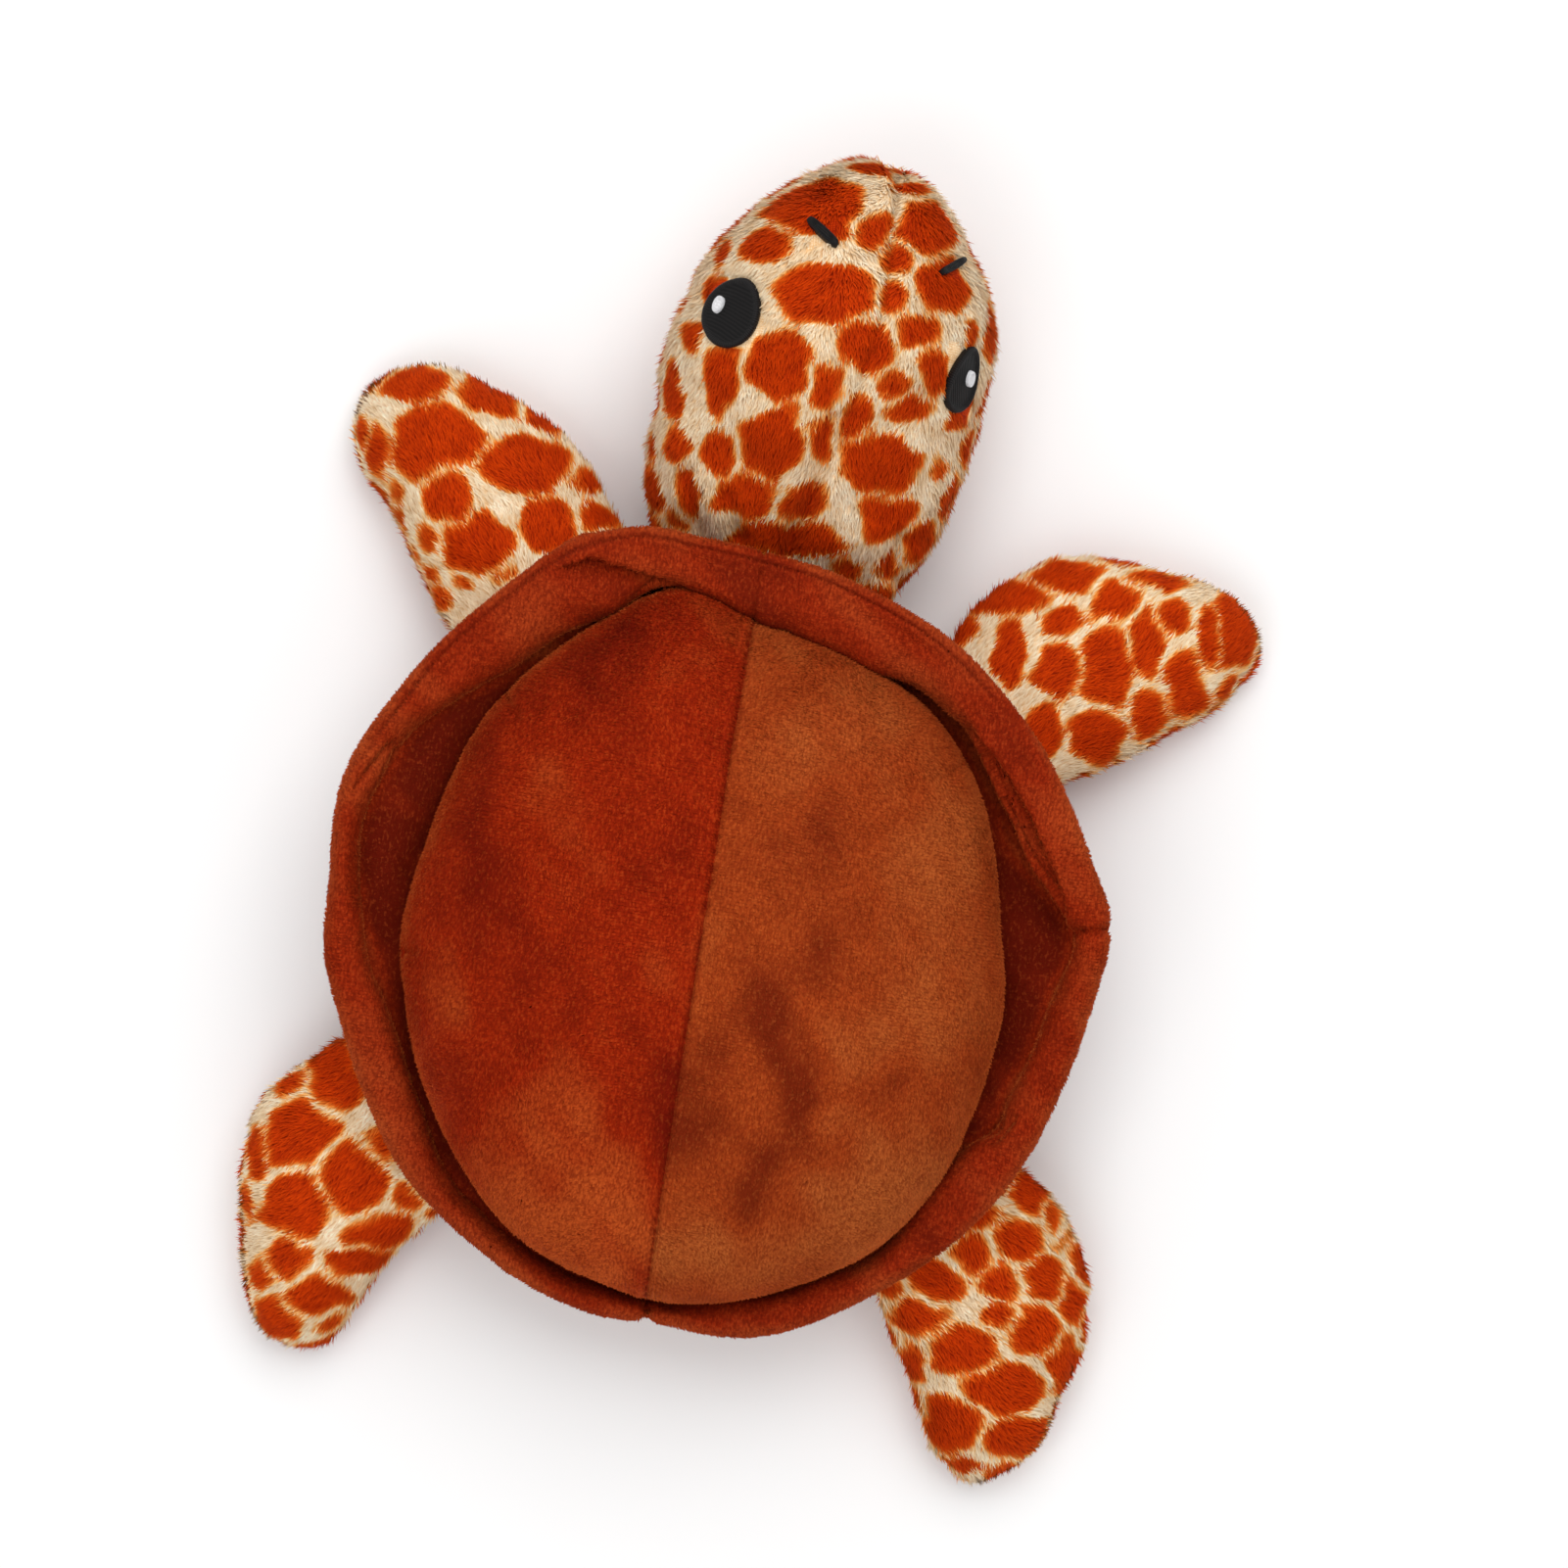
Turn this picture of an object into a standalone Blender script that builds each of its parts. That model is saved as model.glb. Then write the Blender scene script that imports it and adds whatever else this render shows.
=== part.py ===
# Sea turtle plush toy, lying on its belly.
# The head points along -Y and the turtle's left side is +X. The origin is the middle of the flat
# of the belly, on the surface that the toy lies on. All lengths are in metres.

import math
from collections import namedtuple
from functools import cache

import bmesh
import bpy
from mathutils import Matrix, Vector

# Seams and cloth
seam_gap = 0.0003
shell_cloth = 0.0020
rim_cloth = 0.0015
limb_cloth = 0.0020
stuffing_gap = 0.0007

# Shell: a domed top of two panels over a flattened belly, meeting at the side seam
shell_half_width = 0.094
shell_half_length = 0.109
side_seam_height = 0.040
crown_height = 0.105
bulge_overhang = 0.007
bulge_height = 0.015
belly_rest_depth = 0.0005
latitude_shares = (0.07, 0.20, 0.36, 0.52, 0.68, 0.84, 1.00)
under_bulge_shares = (0.40, 0.75, 1.00)
under_bulge_power = 1.6
shell_outline_shares = (0.980, 0.985, 0.975, 0.980, 0.990, 1.000, 1.000, 1.010,
                        1.030, 1.050, 1.040, 1.020, 1.000, 0.980, 0.975, 0.975,
                        0.950, 0.930, 0.940, 0.965, 0.945, 0.940, 0.940, 0.960)
dome_fullness = 2.2
belly_fullness = 2.8

# Rim: a padded brim, sewn into the side seam and turned up round the dome
rim_overhang = 0.031
rim_thickness = 0.011
rim_front_rise = 0.028
rim_overhang_shares = (0.71, 0.63, 0.55, 0.46, 0.33, 0.27, 0.21, 0.34,
                       0.31, 0.40, 0.53, 0.67, 0.82, 0.98, 0.80, 0.66,
                       0.65, 0.65, 0.63, 0.72, 0.95, 0.88, 0.92, 0.90)
rim_rear_drop_share = 0.66
rim_rear_drop_power = 1.8
rim_thin_share = 0.50
rim_turn_up_power = 1.6
rim_station_shares = (0.00, 0.22, 0.42, 0.62, 0.79, 0.92, 0.985, 1.00)
rim_thickness_shares = ((0.00, 0.28), (0.22, 0.52), (0.55, 0.82), (0.79, 1.00),
                        (0.92, 0.80), (0.985, 0.42), (1.00, 0.12))

# Root seams: the flat-sewn ends of head and flippers, which bend like a cloth hinge
root_bead_radius = 0.0015
root_tab_thickness = 0.0018
root_tab_reach = 0.016

# Head and flippers
floor_clearance = 0.0010
head_floor_clearance = 0.0022
head_length = 0.1460
head_width = 0.1030
head_height = 0.0880
chin_lift = 0.0380
front_left_length = 0.1120
front_right_length = 0.1080
front_flipper_width = 0.0630
front_flipper_height = 0.0340
rear_left_length = 0.0980
rear_right_length = 0.0960
rear_flipper_width = 0.0620
rear_flipper_height = 0.0320
flipper_tip_lift = 0.0030

flipper_station_shares = (0.00, 0.06, 0.14, 0.25, 0.38, 0.52, 0.66, 0.78, 0.87, 0.94, 0.985, 1.00)
front_width_shares = ((0.00, 0.78), (0.12, 0.86), (0.25, 0.96), (0.42, 1.00), (0.56, 0.95),
                      (0.72, 0.80), (0.84, 0.66), (0.94, 0.45), (0.985, 0.24), (1.00, 0.08))
rear_width_shares = ((0.00, 0.76), (0.12, 0.88), (0.22, 0.96), (0.38, 1.00), (0.58, 0.86),
                     (0.74, 0.68), (0.87, 0.50), (0.95, 0.33), (0.985, 0.19), (1.00, 0.06))
flipper_height_shares = ((0.00, 0.10), (0.06, 0.28), (0.14, 0.52), (0.25, 0.76), (0.38, 0.95),
                         (0.52, 1.00), (0.66, 0.92), (0.78, 0.80), (0.87, 0.66), (0.94, 0.48),
                         (0.985, 0.26), (1.00, 0.12))
head_station_shares = (0.00, 0.05, 0.11, 0.17, 0.24, 0.32, 0.41, 0.51, 0.60, 0.69, 0.77, 0.85,
                       0.91, 0.955, 0.985, 1.00)
head_width_shares = ((0.00, 0.68), (0.08, 0.72), (0.16, 0.79), (0.24, 0.88), (0.32, 0.94),
                     (0.41, 0.97), (0.51, 1.00), (0.60, 0.99), (0.69, 0.94), (0.77, 0.83),
                     (0.86, 0.66), (0.93, 0.46), (0.975, 0.27), (1.00, 0.09))
head_height_shares = ((0.00, 0.04), (0.05, 0.14), (0.11, 0.30), (0.17, 0.44), (0.24, 0.59),
                      (0.32, 0.73), (0.41, 0.86), (0.51, 0.95), (0.60, 1.00), (0.69, 0.985),
                      (0.77, 0.90), (0.85, 0.74), (0.91, 0.58), (0.955, 0.42), (0.985, 0.27),
                      (1.00, 0.10))
head_roll_deg = -14.0
head_roll_shares = (0.15, 0.50)
root_turn_deg = 9.0
underside_power = 2

# Embroidered face: each patch sits a share along the head and some degrees round from its top
thread_thickness = 0.0010
eye_length = 0.023
eye_width = 0.017
eye_taper_share = 0.16
highlight_length = 0.0060
highlight_width = 0.0028
highlight_turn_deg = 4.5
nostril_length = 0.0110
nostril_width = 0.0026
patch_ring_shares = (0.30, 0.70, 1.00)
Spot = namedtuple("Spot", "hand side along_share turn_deg tilt_deg")
eyes = (Spot("left", 1, 0.590, 50.0, -14.0), Spot("right", -1, 0.580, -42.0, 14.0))
nostrils = (Spot("left", 1, 0.785, 31.0, 58.0), Spot("right", -1, 0.790, -29.0, -58.0))

# Where each limb leaves the side seam, and how it lies. Degrees run round the shell from the
# turtle's left towards its tail.
Limb = namedtuple("Limb", "name seat_deg heading_deg curl_deg curl_from_share length width height "
                          "width_shares height_shares stations fall_share lift lift_from_share "
                          "clearance roll_deg")
front_shape = dict(width=front_flipper_width, height=front_flipper_height,
                   width_shares=front_width_shares, height_shares=flipper_height_shares,
                   stations=flipper_station_shares, fall_share=0.50, lift=flipper_tip_lift,
                   lift_from_share=0.70, clearance=floor_clearance, roll_deg=0.0)
rear_shape = {**front_shape, "width": rear_flipper_width, "height": rear_flipper_height,
              "width_shares": rear_width_shares}
limbs = (
    Limb("head", seat_deg=267.0, heading_deg=265.2, curl_deg=0.0, curl_from_share=0.50,
         length=head_length, width=head_width, height=head_height,
         width_shares=head_width_shares, height_shares=head_height_shares,
         stations=head_station_shares, fall_share=0.42, lift=chin_lift, lift_from_share=0.62,
         clearance=head_floor_clearance, roll_deg=head_roll_deg),
    Limb("front_left_flipper", seat_deg=301.0, heading_deg=309.0, curl_deg=36.0,
         curl_from_share=0.40, length=front_left_length, **front_shape),
    Limb("front_right_flipper", seat_deg=227.0, heading_deg=225.5, curl_deg=-59.0,
         curl_from_share=0.36, length=front_right_length, **front_shape),
    Limb("rear_left_flipper", seat_deg=38.5, heading_deg=40.0, curl_deg=76.0,
         curl_from_share=0.10, length=rear_left_length, **rear_shape),
    Limb("rear_right_flipper", seat_deg=140.0, heading_deg=140.0, curl_deg=-70.0,
         curl_from_share=0.10, length=rear_right_length, **rear_shape),
)

# Facets
torso_sides = 36
half_section_sides = 7
head_half_section_sides = 9
patch_sides = 14
bead_sides = 12
pocket_sides = 32
seam_allowance_sides = 10
spine_steps = 24
outline_steps = 8
slope_step_share = 0.010
skin_step_share = 0.004


for old in list(bpy.data.objects):
    bpy.data.objects.remove(old)


def make_material(name, colour, roughness):
    material = bpy.data.materials.new(name)
    material.use_nodes = True
    shader = material.node_tree.nodes["Principled BSDF"]
    shader.inputs["Base Color"].default_value = (*colour, 1.0)
    shader.inputs["Roughness"].default_value = roughness
    shader.inputs["Metallic"].default_value = 0.0
    return material


minky = make_material("rust_minky", (0.30, 0.070, 0.020), 0.90)
fur = make_material("printed_fur", (0.62, 0.30, 0.13), 0.95)
stuffing = make_material("polyester_stuffing", (0.85, 0.84, 0.80), 1.00)
wadding = make_material("polyester_wadding", (0.80, 0.79, 0.75), 1.00)
binding = make_material("root_seam_cloth", (0.60, 0.42, 0.28), 0.95)
black_thread = make_material("black_thread", (0.012, 0.011, 0.011), 0.60)
white_thread = make_material("white_thread", (0.80, 0.79, 0.80), 0.60)


def make_pivot(name, place, parent=None):
    """An empty on a joint's axis, which the pieces that turn there hang from."""
    pivot = bpy.data.objects.new(name, None)
    bpy.context.collection.objects.link(pivot)
    pivot.empty_display_size = root_tab_reach
    pivot.location = place - (parent.location if parent else Vector())
    pivot.parent = parent
    return pivot


def add_piece(name, bm, material, pivot=None, pivot_place=Vector()):
    """Turns a finished bmesh, drawn in place, into a named object under its pivot."""
    bmesh.ops.recalc_face_normals(bm, faces=bm.faces)
    bmesh.ops.translate(bm, verts=bm.verts, vec=-pivot_place)
    mesh = bpy.data.meshes.new(name)
    bm.to_mesh(mesh)
    bm.free()
    mesh.materials.append(material)
    mesh.shade_smooth()
    mesh.set_sharp_from_angle(angle=math.radians(50.0))
    piece = bpy.data.objects.new(name, mesh)
    bpy.context.collection.objects.link(piece)
    piece.parent = pivot
    return piece


def loft(rings):
    """A closed form: the first ring is extruded again and again, and moved to each next ring."""
    bm = bmesh.new()
    ring = [bm.verts.new(point) for point in rings[0]]
    bm.faces.new(ring)
    edges = list(bm.edges)
    for points in rings[1:]:
        made = bmesh.ops.extrude_edge_only(bm, edges=edges)["geom"]
        fresh = {item for item in made if isinstance(item, bmesh.types.BMVert)}
        edges = [item for item in made
                 if isinstance(item, bmesh.types.BMEdge) and fresh.issuperset(item.verts)]
        ring = [next(edge.other_vert(vert) for edge in vert.link_edges
                     if edge.other_vert(vert) in fresh) for vert in ring]
        for vert, point in zip(ring, points):
            vert.co = point
    bm.faces.new(ring)
    # Splitting each facet by its short diagonal keeps a skin parallel to what lies inside it.
    bmesh.ops.triangulate(bm, faces=bm.faces, quad_method="SHORT_EDGE", ngon_method="EAR_CLIP")
    return bm


def cut_away(bm, point, normal):
    """Cuts a form along a plane, keeps the side that the normal leaves, and closes the cut."""
    cut = bmesh.ops.bisect_plane(bm, geom=bm.verts[:] + bm.edges[:] + bm.faces[:],
                                 plane_co=point, plane_no=normal, clear_outer=True)
    edges = [item for item in cut["geom_cut"] if isinstance(item, bmesh.types.BMEdge)]
    bmesh.ops.edgeloop_fill(bm, edges=edges)


def from_table(table, place):
    """Reads a smooth curve through hand-chosen (place, share) pairs."""
    if place <= table[0][0]:
        return table[0][1]
    if place >= table[-1][0]:
        return table[-1][1]
    index = next(i for i in range(len(table) - 1) if place <= table[i + 1][0])

    def slope(i):
        low, high = table[max(i - 1, 0)], table[min(i + 1, len(table) - 1)]
        return (high[1] - low[1]) / (high[0] - low[0])

    (x0, y0), (x1, y1) = table[index], table[index + 1]
    width = x1 - x0
    t = (place - x0) / width
    return ((2 * t ** 3 - 3 * t ** 2 + 1) * y0 + (t ** 3 - 2 * t ** 2 + t) * width * slope(index)
            + (3 * t ** 2 - 2 * t ** 3) * y1 + (t ** 3 - t ** 2) * width * slope(index + 1))


def around(shares, angle):
    """Reads a table that runs once round the shell, from the turtle's left towards its tail."""
    step = 2 * math.pi / len(shares)
    place = (angle / step) % len(shares)
    table = [(i, shares[i % len(shares)]) for i in range(-2, len(shares) + 3)]
    return from_table(table, place)


def ease(low, high, value):
    t = min(max((value - low) / (high - low), 0.0), 1.0)
    return t * t * (3 - 2 * t)


def heading(degrees):
    angle = math.radians(degrees)
    return Vector((math.cos(angle), math.sin(angle), 0.0))


def dome_radius(angle):
    """Half the width of the dome, where it bulges most, in the direction of the angle."""
    ellipse = 1 / math.hypot(math.cos(angle) / shell_half_width,
                             math.sin(angle) / shell_half_length)
    return ellipse * around(shell_outline_shares, angle)


def seam_radius(angle):
    return dome_radius(angle) - bulge_overhang


def ring_round(radius_at, height):
    angles = [2 * math.pi * side / torso_sides for side in range(torso_sides)]
    return [Vector((radius_at(a) * math.cos(a), radius_at(a) * math.sin(a), height))
            for a in angles]


rim_root_half = rim_cloth + seam_gap / 2
dome_edge_height = side_seam_height + rim_root_half + seam_gap
belly_edge_height = side_seam_height - rim_root_half - seam_gap
bulge_level = side_seam_height + bulge_height


def dome_rings(inset):
    """Rings of the dome from its crown, over the bulge and in again to the side seam."""
    rings = []
    for share in latitude_shares:
        angle = share * math.pi / 2
        out = math.sin(angle) ** (2 / dome_fullness)
        up = math.cos(angle) ** (2 / dome_fullness) if share < 1 else 0.0
        rings.append(ring_round(lambda a: (dome_radius(a) - inset) * out,
                                bulge_level + (crown_height - bulge_level - inset) * up))
    for share in under_bulge_shares:
        height = bulge_level + (dome_edge_height - bulge_level) * share
        tuck = bulge_overhang * share ** under_bulge_power
        rings.append(ring_round(lambda a: dome_radius(a) - inset - tuck, height))
    return rings


def belly_rings(inset):
    """Rings of the belly from the side seam down to the middle of its flat."""
    rings = []
    for share in reversed(latitude_shares):
        angle = share * math.pi / 2
        out = math.sin(angle) ** (2 / belly_fullness)
        down = math.cos(angle) ** (2 / belly_fullness) if share < 1 else 0.0
        depth = belly_edge_height + belly_rest_depth - inset
        rings.append(ring_round(lambda a: (seam_radius(a) - inset) * out,
                                belly_edge_height - depth * down))
    return rings


def add_shell():
    for name, side in (("shell_panel_left", 1.0), ("shell_panel_right", -1.0)):
        bm = loft(dome_rings(0.0) + dome_rings(shell_cloth)[::-1])
        cut_away(bm, Vector((side * seam_gap / 2, 0.0, 0.0)), Vector((-side, 0.0, 0.0)))
        add_piece(name, bm, minky)


def rim_reach(angle):
    return dome_radius(angle) + rim_overhang * around(rim_overhang_shares, angle)


def rim_rise(angle):
    """The rim stands highest round the front and lies low under the dome at the tail."""
    towards_tail = ((1 + math.sin(angle)) / 2) ** rim_rear_drop_power
    return rim_front_rise * (1 - rim_rear_drop_share * towards_tail)


def rim_line(angle, side, inset):
    """One face of the rim at an angle round the shell, from the seam to its rolled edge.
    side is 1 for the upper face and -1 for the lower one."""
    root = seam_radius(angle) - shell_cloth
    flat = shell_cloth + seam_gap
    free = rim_reach(angle) - root - flat
    overhang = around(rim_overhang_shares, angle)
    fatness = rim_thickness / 2 * (rim_thin_share + (1 - rim_thin_share) * overhang)

    def middle(share):
        up = side_seam_height + rim_rise(angle) * max(share, 0.0) ** rim_turn_up_power
        return Vector((root + flat + free * share, up))

    sewn = max(rim_root_half - inset, seam_gap / 2)
    points = [Vector((root, side_seam_height + sewn * side))]
    for share in rim_station_shares:
        tangent = (middle(share + slope_step_share) - middle(share - slope_step_share)).normalized()
        half = max(fatness * from_table(rim_thickness_shares, share), rim_root_half)
        if share == rim_station_shares[-1]:
            half = seam_gap
        half = max(half - inset, seam_gap / 2)
        points.append(middle(share) + Vector((-tangent.y, tangent.x)) * half * side)
    return points


def rim_section(angle, side, outer_inset, inner_inset):
    """The closed outline of one rim layer, as points in space, between two insets."""
    outer = rim_line(angle, side, outer_inset)
    inner = rim_line(angle, side, inner_inset)[:-1]
    flat = outer + inner[::-1]
    return [Vector((p.x * math.cos(angle), p.x * math.sin(angle), p.y)) for p in flat]


def rim_angles(side):
    start = -math.pi / 2 if side > 0 else math.pi / 2
    steps = torso_sides // 2
    return [start + math.pi * step / steps for step in range(steps + 1)]


def add_rim():
    for hand, side in (("left", 1.0), ("right", -1.0)):
        aside = Vector((side * seam_gap / 2, 0.0, 0.0))
        for layer, face in (("facing", 1), ("backing", -1)):
            rings = [[point + aside for point in rim_section(angle, face, 0.0, rim_cloth)]
                     for angle in rim_angles(side)]
            add_piece(f"rim_{layer}_{hand}", loft(rings), minky)
        core = slice(2, -2)
        rings = []
        for angle in rim_angles(side):
            upper = rim_line(angle, 1, rim_cloth + stuffing_gap)[core]
            lower = rim_line(angle, -1, rim_cloth + stuffing_gap)[core]
            rings.append([Vector((p.x * math.cos(angle), p.x * math.sin(angle), p.y)) + aside
                          for p in upper + lower[::-1]])
        add_piece(f"rim_wadding_{hand}", loft(rings), wadding)


root_tab_top = side_seam_height - rim_root_half - seam_gap
root_axis_height = root_tab_top - root_tab_thickness
root_setback = root_bead_radius + seam_gap
root_edge_half = limb_cloth - seam_gap


def root_half_width(limb):
    return limb.width * limb.width_shares[0][1] / 2


@cache
def limb_pivot(limb):
    """The point that a limb turns about: out from the side seam, just as far as its root
    needs to clear the belly at both ends of its turn."""
    seat = seam_radius(math.radians(limb.seat_deg)) * heading(limb.seat_deg)
    ahead = heading(limb.heading_deg)
    reach = root_half_width(limb) + root_setback
    distance = root_setback
    outline = ring_round(seam_radius, 0.0)
    edges = [(a, b) for a, b in zip(outline, outline[1:] + outline[:1])]
    points = [a.lerp(b, step / outline_steps) for a, b in edges for step in range(outline_steps)]
    for turn in (-root_turn_deg, 0.0, root_turn_deg):
        forward = heading(limb.heading_deg + turn)
        aside = Vector((-forward.y, forward.x, 0.0))
        for point in points:
            if abs((point - seat).dot(aside)) <= reach:
                needed = ((point - seat).dot(forward) + root_setback) / forward.dot(ahead)
                distance = max(distance, needed)
    return seat + ahead * distance + Vector((0.0, 0.0, root_axis_height))


def limb_heading(limb, share):
    bend = max(share - limb.curl_from_share, 0.0) / (1 - limb.curl_from_share)
    return heading(limb.heading_deg + limb.curl_deg * bend)


@cache
def limb_spine(limb, share):
    """The plan place of a limb's middle line, walked out from its pivot in short steps."""
    place = limb_pivot(limb) + heading(limb.heading_deg) * root_setback
    stride = (limb.length - root_setback) * share / spine_steps
    for step in range(spine_steps):
        place = place + limb_heading(limb, share * (step + 0.5) / spine_steps) * stride
    return place


@cache
def limb_section(limb, share):
    """Half width, half height, middle height and roll of a limb at a share of its length."""
    half_width = limb.width / 2 * from_table(limb.width_shares, share)
    half_height = max(limb.height / 2 * from_table(limb.height_shares, share), root_edge_half)
    fall = max(1 - share / limb.fall_share, 0.0) ** underside_power
    underside = limb.clearance + (root_axis_height - root_edge_half - limb.clearance) * fall
    rise = max(share - limb.lift_from_share, 0.0) / (1 - limb.lift_from_share)
    middle = underside + limb.lift * rise ** underside_power + half_height
    roll = math.radians(limb.roll_deg) * ease(*head_roll_shares, share)
    return half_width, half_height, middle, roll


def limb_point(limb, share, turn, inset, shift=(0.0, 0.0)):
    """A point on a limb's skin. turn runs from the top of the section towards its left side."""
    half_width, half_height, middle, roll = limb_section(limb, share)
    if share == limb.stations[-1] and inset > 0:
        across, up = seam_gap, seam_gap
    else:
        across = max(half_width - inset, seam_gap)
        up = max(half_height - inset, seam_gap / 2)
    flat = Vector((across * math.sin(turn) + shift[0], up * math.cos(turn) + shift[1]))
    forward = limb_heading(limb, share)
    side = Vector((-forward.y, forward.x, 0.0))
    plan = limb_spine(limb, share)
    sideways = flat.x * math.cos(roll) + flat.y * math.sin(roll)
    upward = flat.y * math.cos(roll) - flat.x * math.sin(roll)
    return Vector((plan.x, plan.y, middle + upward)) + side * sideways


def half_turns(start, sides):
    return [start + math.pi * step / sides for step in range(sides + 1)]


def cover_half(limb, start, sides, shift):
    """Half of a limb's skin, from one of its long seams to the other."""
    rings = []
    for share in limb.stations:
        outer = [limb_point(limb, share, turn, 0.0, shift) for turn in half_turns(start, sides)]
        inner = [limb_point(limb, share, turn, limb_cloth, shift)
                 for turn in half_turns(start, sides)]
        rings.append(outer + inner[::-1])
    return loft(rings)


def limb_filling(limb, start, sides):
    """The stuffing inside a limb's skin, where the skin leaves it room."""
    inset = limb_cloth + stuffing_gap
    roomy = [share for share in limb.stations
             if min(limb_section(limb, share)[:2]) > 2 * inset]
    turns = [start + math.pi * step / sides for step in range(2 * sides)]
    return loft([[limb_point(limb, share, turn, inset) for turn in turns] for share in roomy])


def add_root_seam(limb, pivot_place, pivot):
    """The bead that a limb's root bends along, and the seam allowance that holds it in the
    side seam: a half disc, round about the pivot so that it can turn in its pocket."""
    ahead = heading(limb.heading_deg)
    side = Vector((-ahead.y, ahead.x, 0.0))
    lengthwise = side.to_track_quat("Z", "Y").to_matrix().to_4x4()
    bead = bmesh.new()
    bmesh.ops.create_cone(bead, cap_ends=True, segments=bead_sides, radius1=root_bead_radius,
                          radius2=root_bead_radius, depth=2 * root_half_width(limb),
                          matrix=Matrix.Translation(pivot_place) @ lengthwise)
    piece = add_piece(f"{limb.name}_root_seam", bead, binding, pivot, pivot_place)

    outline = [pivot_place + (side * math.cos(turn) - ahead * math.sin(turn)) * root_tab_reach
               for turn in half_turns(0.0, seam_allowance_sides)]
    drop = Vector((0.0, 0.0, root_tab_thickness))
    bottom = [Vector((p.x, p.y, root_tab_top - root_tab_thickness)) for p in outline]
    tab = add_piece(f"{limb.name}_seam_allowance", loft([bottom, [p + drop for p in bottom]]),
                    binding, pivot, pivot_place)
    hide_guide(tab)
    union = piece.modifiers.new("seam allowance", "BOOLEAN")
    union.operation = "UNION"
    union.object = tab


def hide_guide(guide):
    guide.hide_render = True
    guide.display_type = "WIRE"


def add_belly_and_stuffing(pivots):
    """The belly panel and the body's stuffing, both pocketed for the limbs' seam allowances."""
    bm = loft(belly_rings(0.0)[::-1] + belly_rings(shell_cloth))
    cut_away(bm, Vector(), Vector((0.0, 0.0, -1.0)))
    belly = add_piece("belly_panel", bm, fur)
    inset = shell_cloth + stuffing_gap
    body = add_piece("body_stuffing", loft(dome_rings(inset) + belly_rings(inset)), stuffing)

    pocket_height = root_tab_thickness + 2 * seam_gap
    for limb, place in pivots:
        middle = Vector((place.x, place.y, root_tab_top - root_tab_thickness / 2))
        pocket = bmesh.new()
        bmesh.ops.create_cone(pocket, cap_ends=True, segments=pocket_sides,
                              radius1=root_tab_reach + seam_gap,
                              radius2=root_tab_reach + seam_gap, depth=pocket_height,
                              matrix=Matrix.Translation(middle))
        cutter = add_piece(f"{limb.name}_pocket", pocket, binding)
        hide_guide(cutter)
        for piece in (belly, body):
            cut = piece.modifiers.new(f"{limb.name} pocket", "BOOLEAN")
            cut.operation = "DIFFERENCE"
            cut.object = cutter


def face_patch(name, spot, long, wide, tilt_deg, lift, taper, material, pivot, place):
    """A raised patch of satin stitch that follows the head's skin. The long way of the patch
    lies along the head when tilt is zero; taper narrows its front end."""
    head = limbs[0]
    half_width, half_height, _, _ = limb_section(head, spot.along_share)
    girth = (half_width + half_height) / 2
    tilt = math.radians(tilt_deg)
    step = skin_step_share

    def skin(along, across, height):
        share = spot.along_share + along / head.length
        turn = math.radians(spot.turn_deg) + across / girth
        ahead = limb_point(head, share + step, turn, 0.0) - limb_point(head, share - step, turn, 0.0)
        aside = limb_point(head, share, turn + step, 0.0) - limb_point(head, share, turn - step, 0.0)
        return limb_point(head, share, turn, 0.0) + ahead.cross(aside).normalized() * height

    def ring(size_share, height):
        points = []
        for side in range(patch_sides):
            angle = 2 * math.pi * side / patch_sides
            along = long / 2 * math.cos(angle) * size_share
            across = wide / 2 * math.sin(angle) * size_share * (1 - taper * math.cos(angle))
            points.append(skin(along * math.cos(tilt) - across * math.sin(tilt),
                               along * math.sin(tilt) + across * math.cos(tilt), height))
        return points

    middle, inner, edge = patch_ring_shares
    top = lift + thread_thickness
    rings = [ring(middle, lift), ring(inner, lift), ring(edge, lift),
             ring(edge, lift + thread_thickness / 2), ring(inner, top), ring(middle, top)]
    add_piece(name, loft(rings), material, pivot, place)


def add_face(pivot, place):
    on_skin = seam_gap
    on_eye = seam_gap + thread_thickness + seam_gap
    for spot in eyes:
        face_patch(f"eye_patch_{spot.hand}", spot, eye_length, eye_width, spot.tilt_deg, on_skin,
                   eye_taper_share, black_thread, pivot, place)
        shine = spot._replace(turn_deg=spot.turn_deg + highlight_turn_deg * spot.side)
        face_patch(f"eye_highlight_{spot.hand}", shine, highlight_length, highlight_width,
                   spot.tilt_deg * 2, on_eye, 0.0, white_thread, pivot, place)
    for spot in nostrils:
        face_patch(f"nostril_{spot.hand}", spot, nostril_length, nostril_width, spot.tilt_deg,
                   on_skin, 0.0, black_thread, pivot, place)


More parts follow.
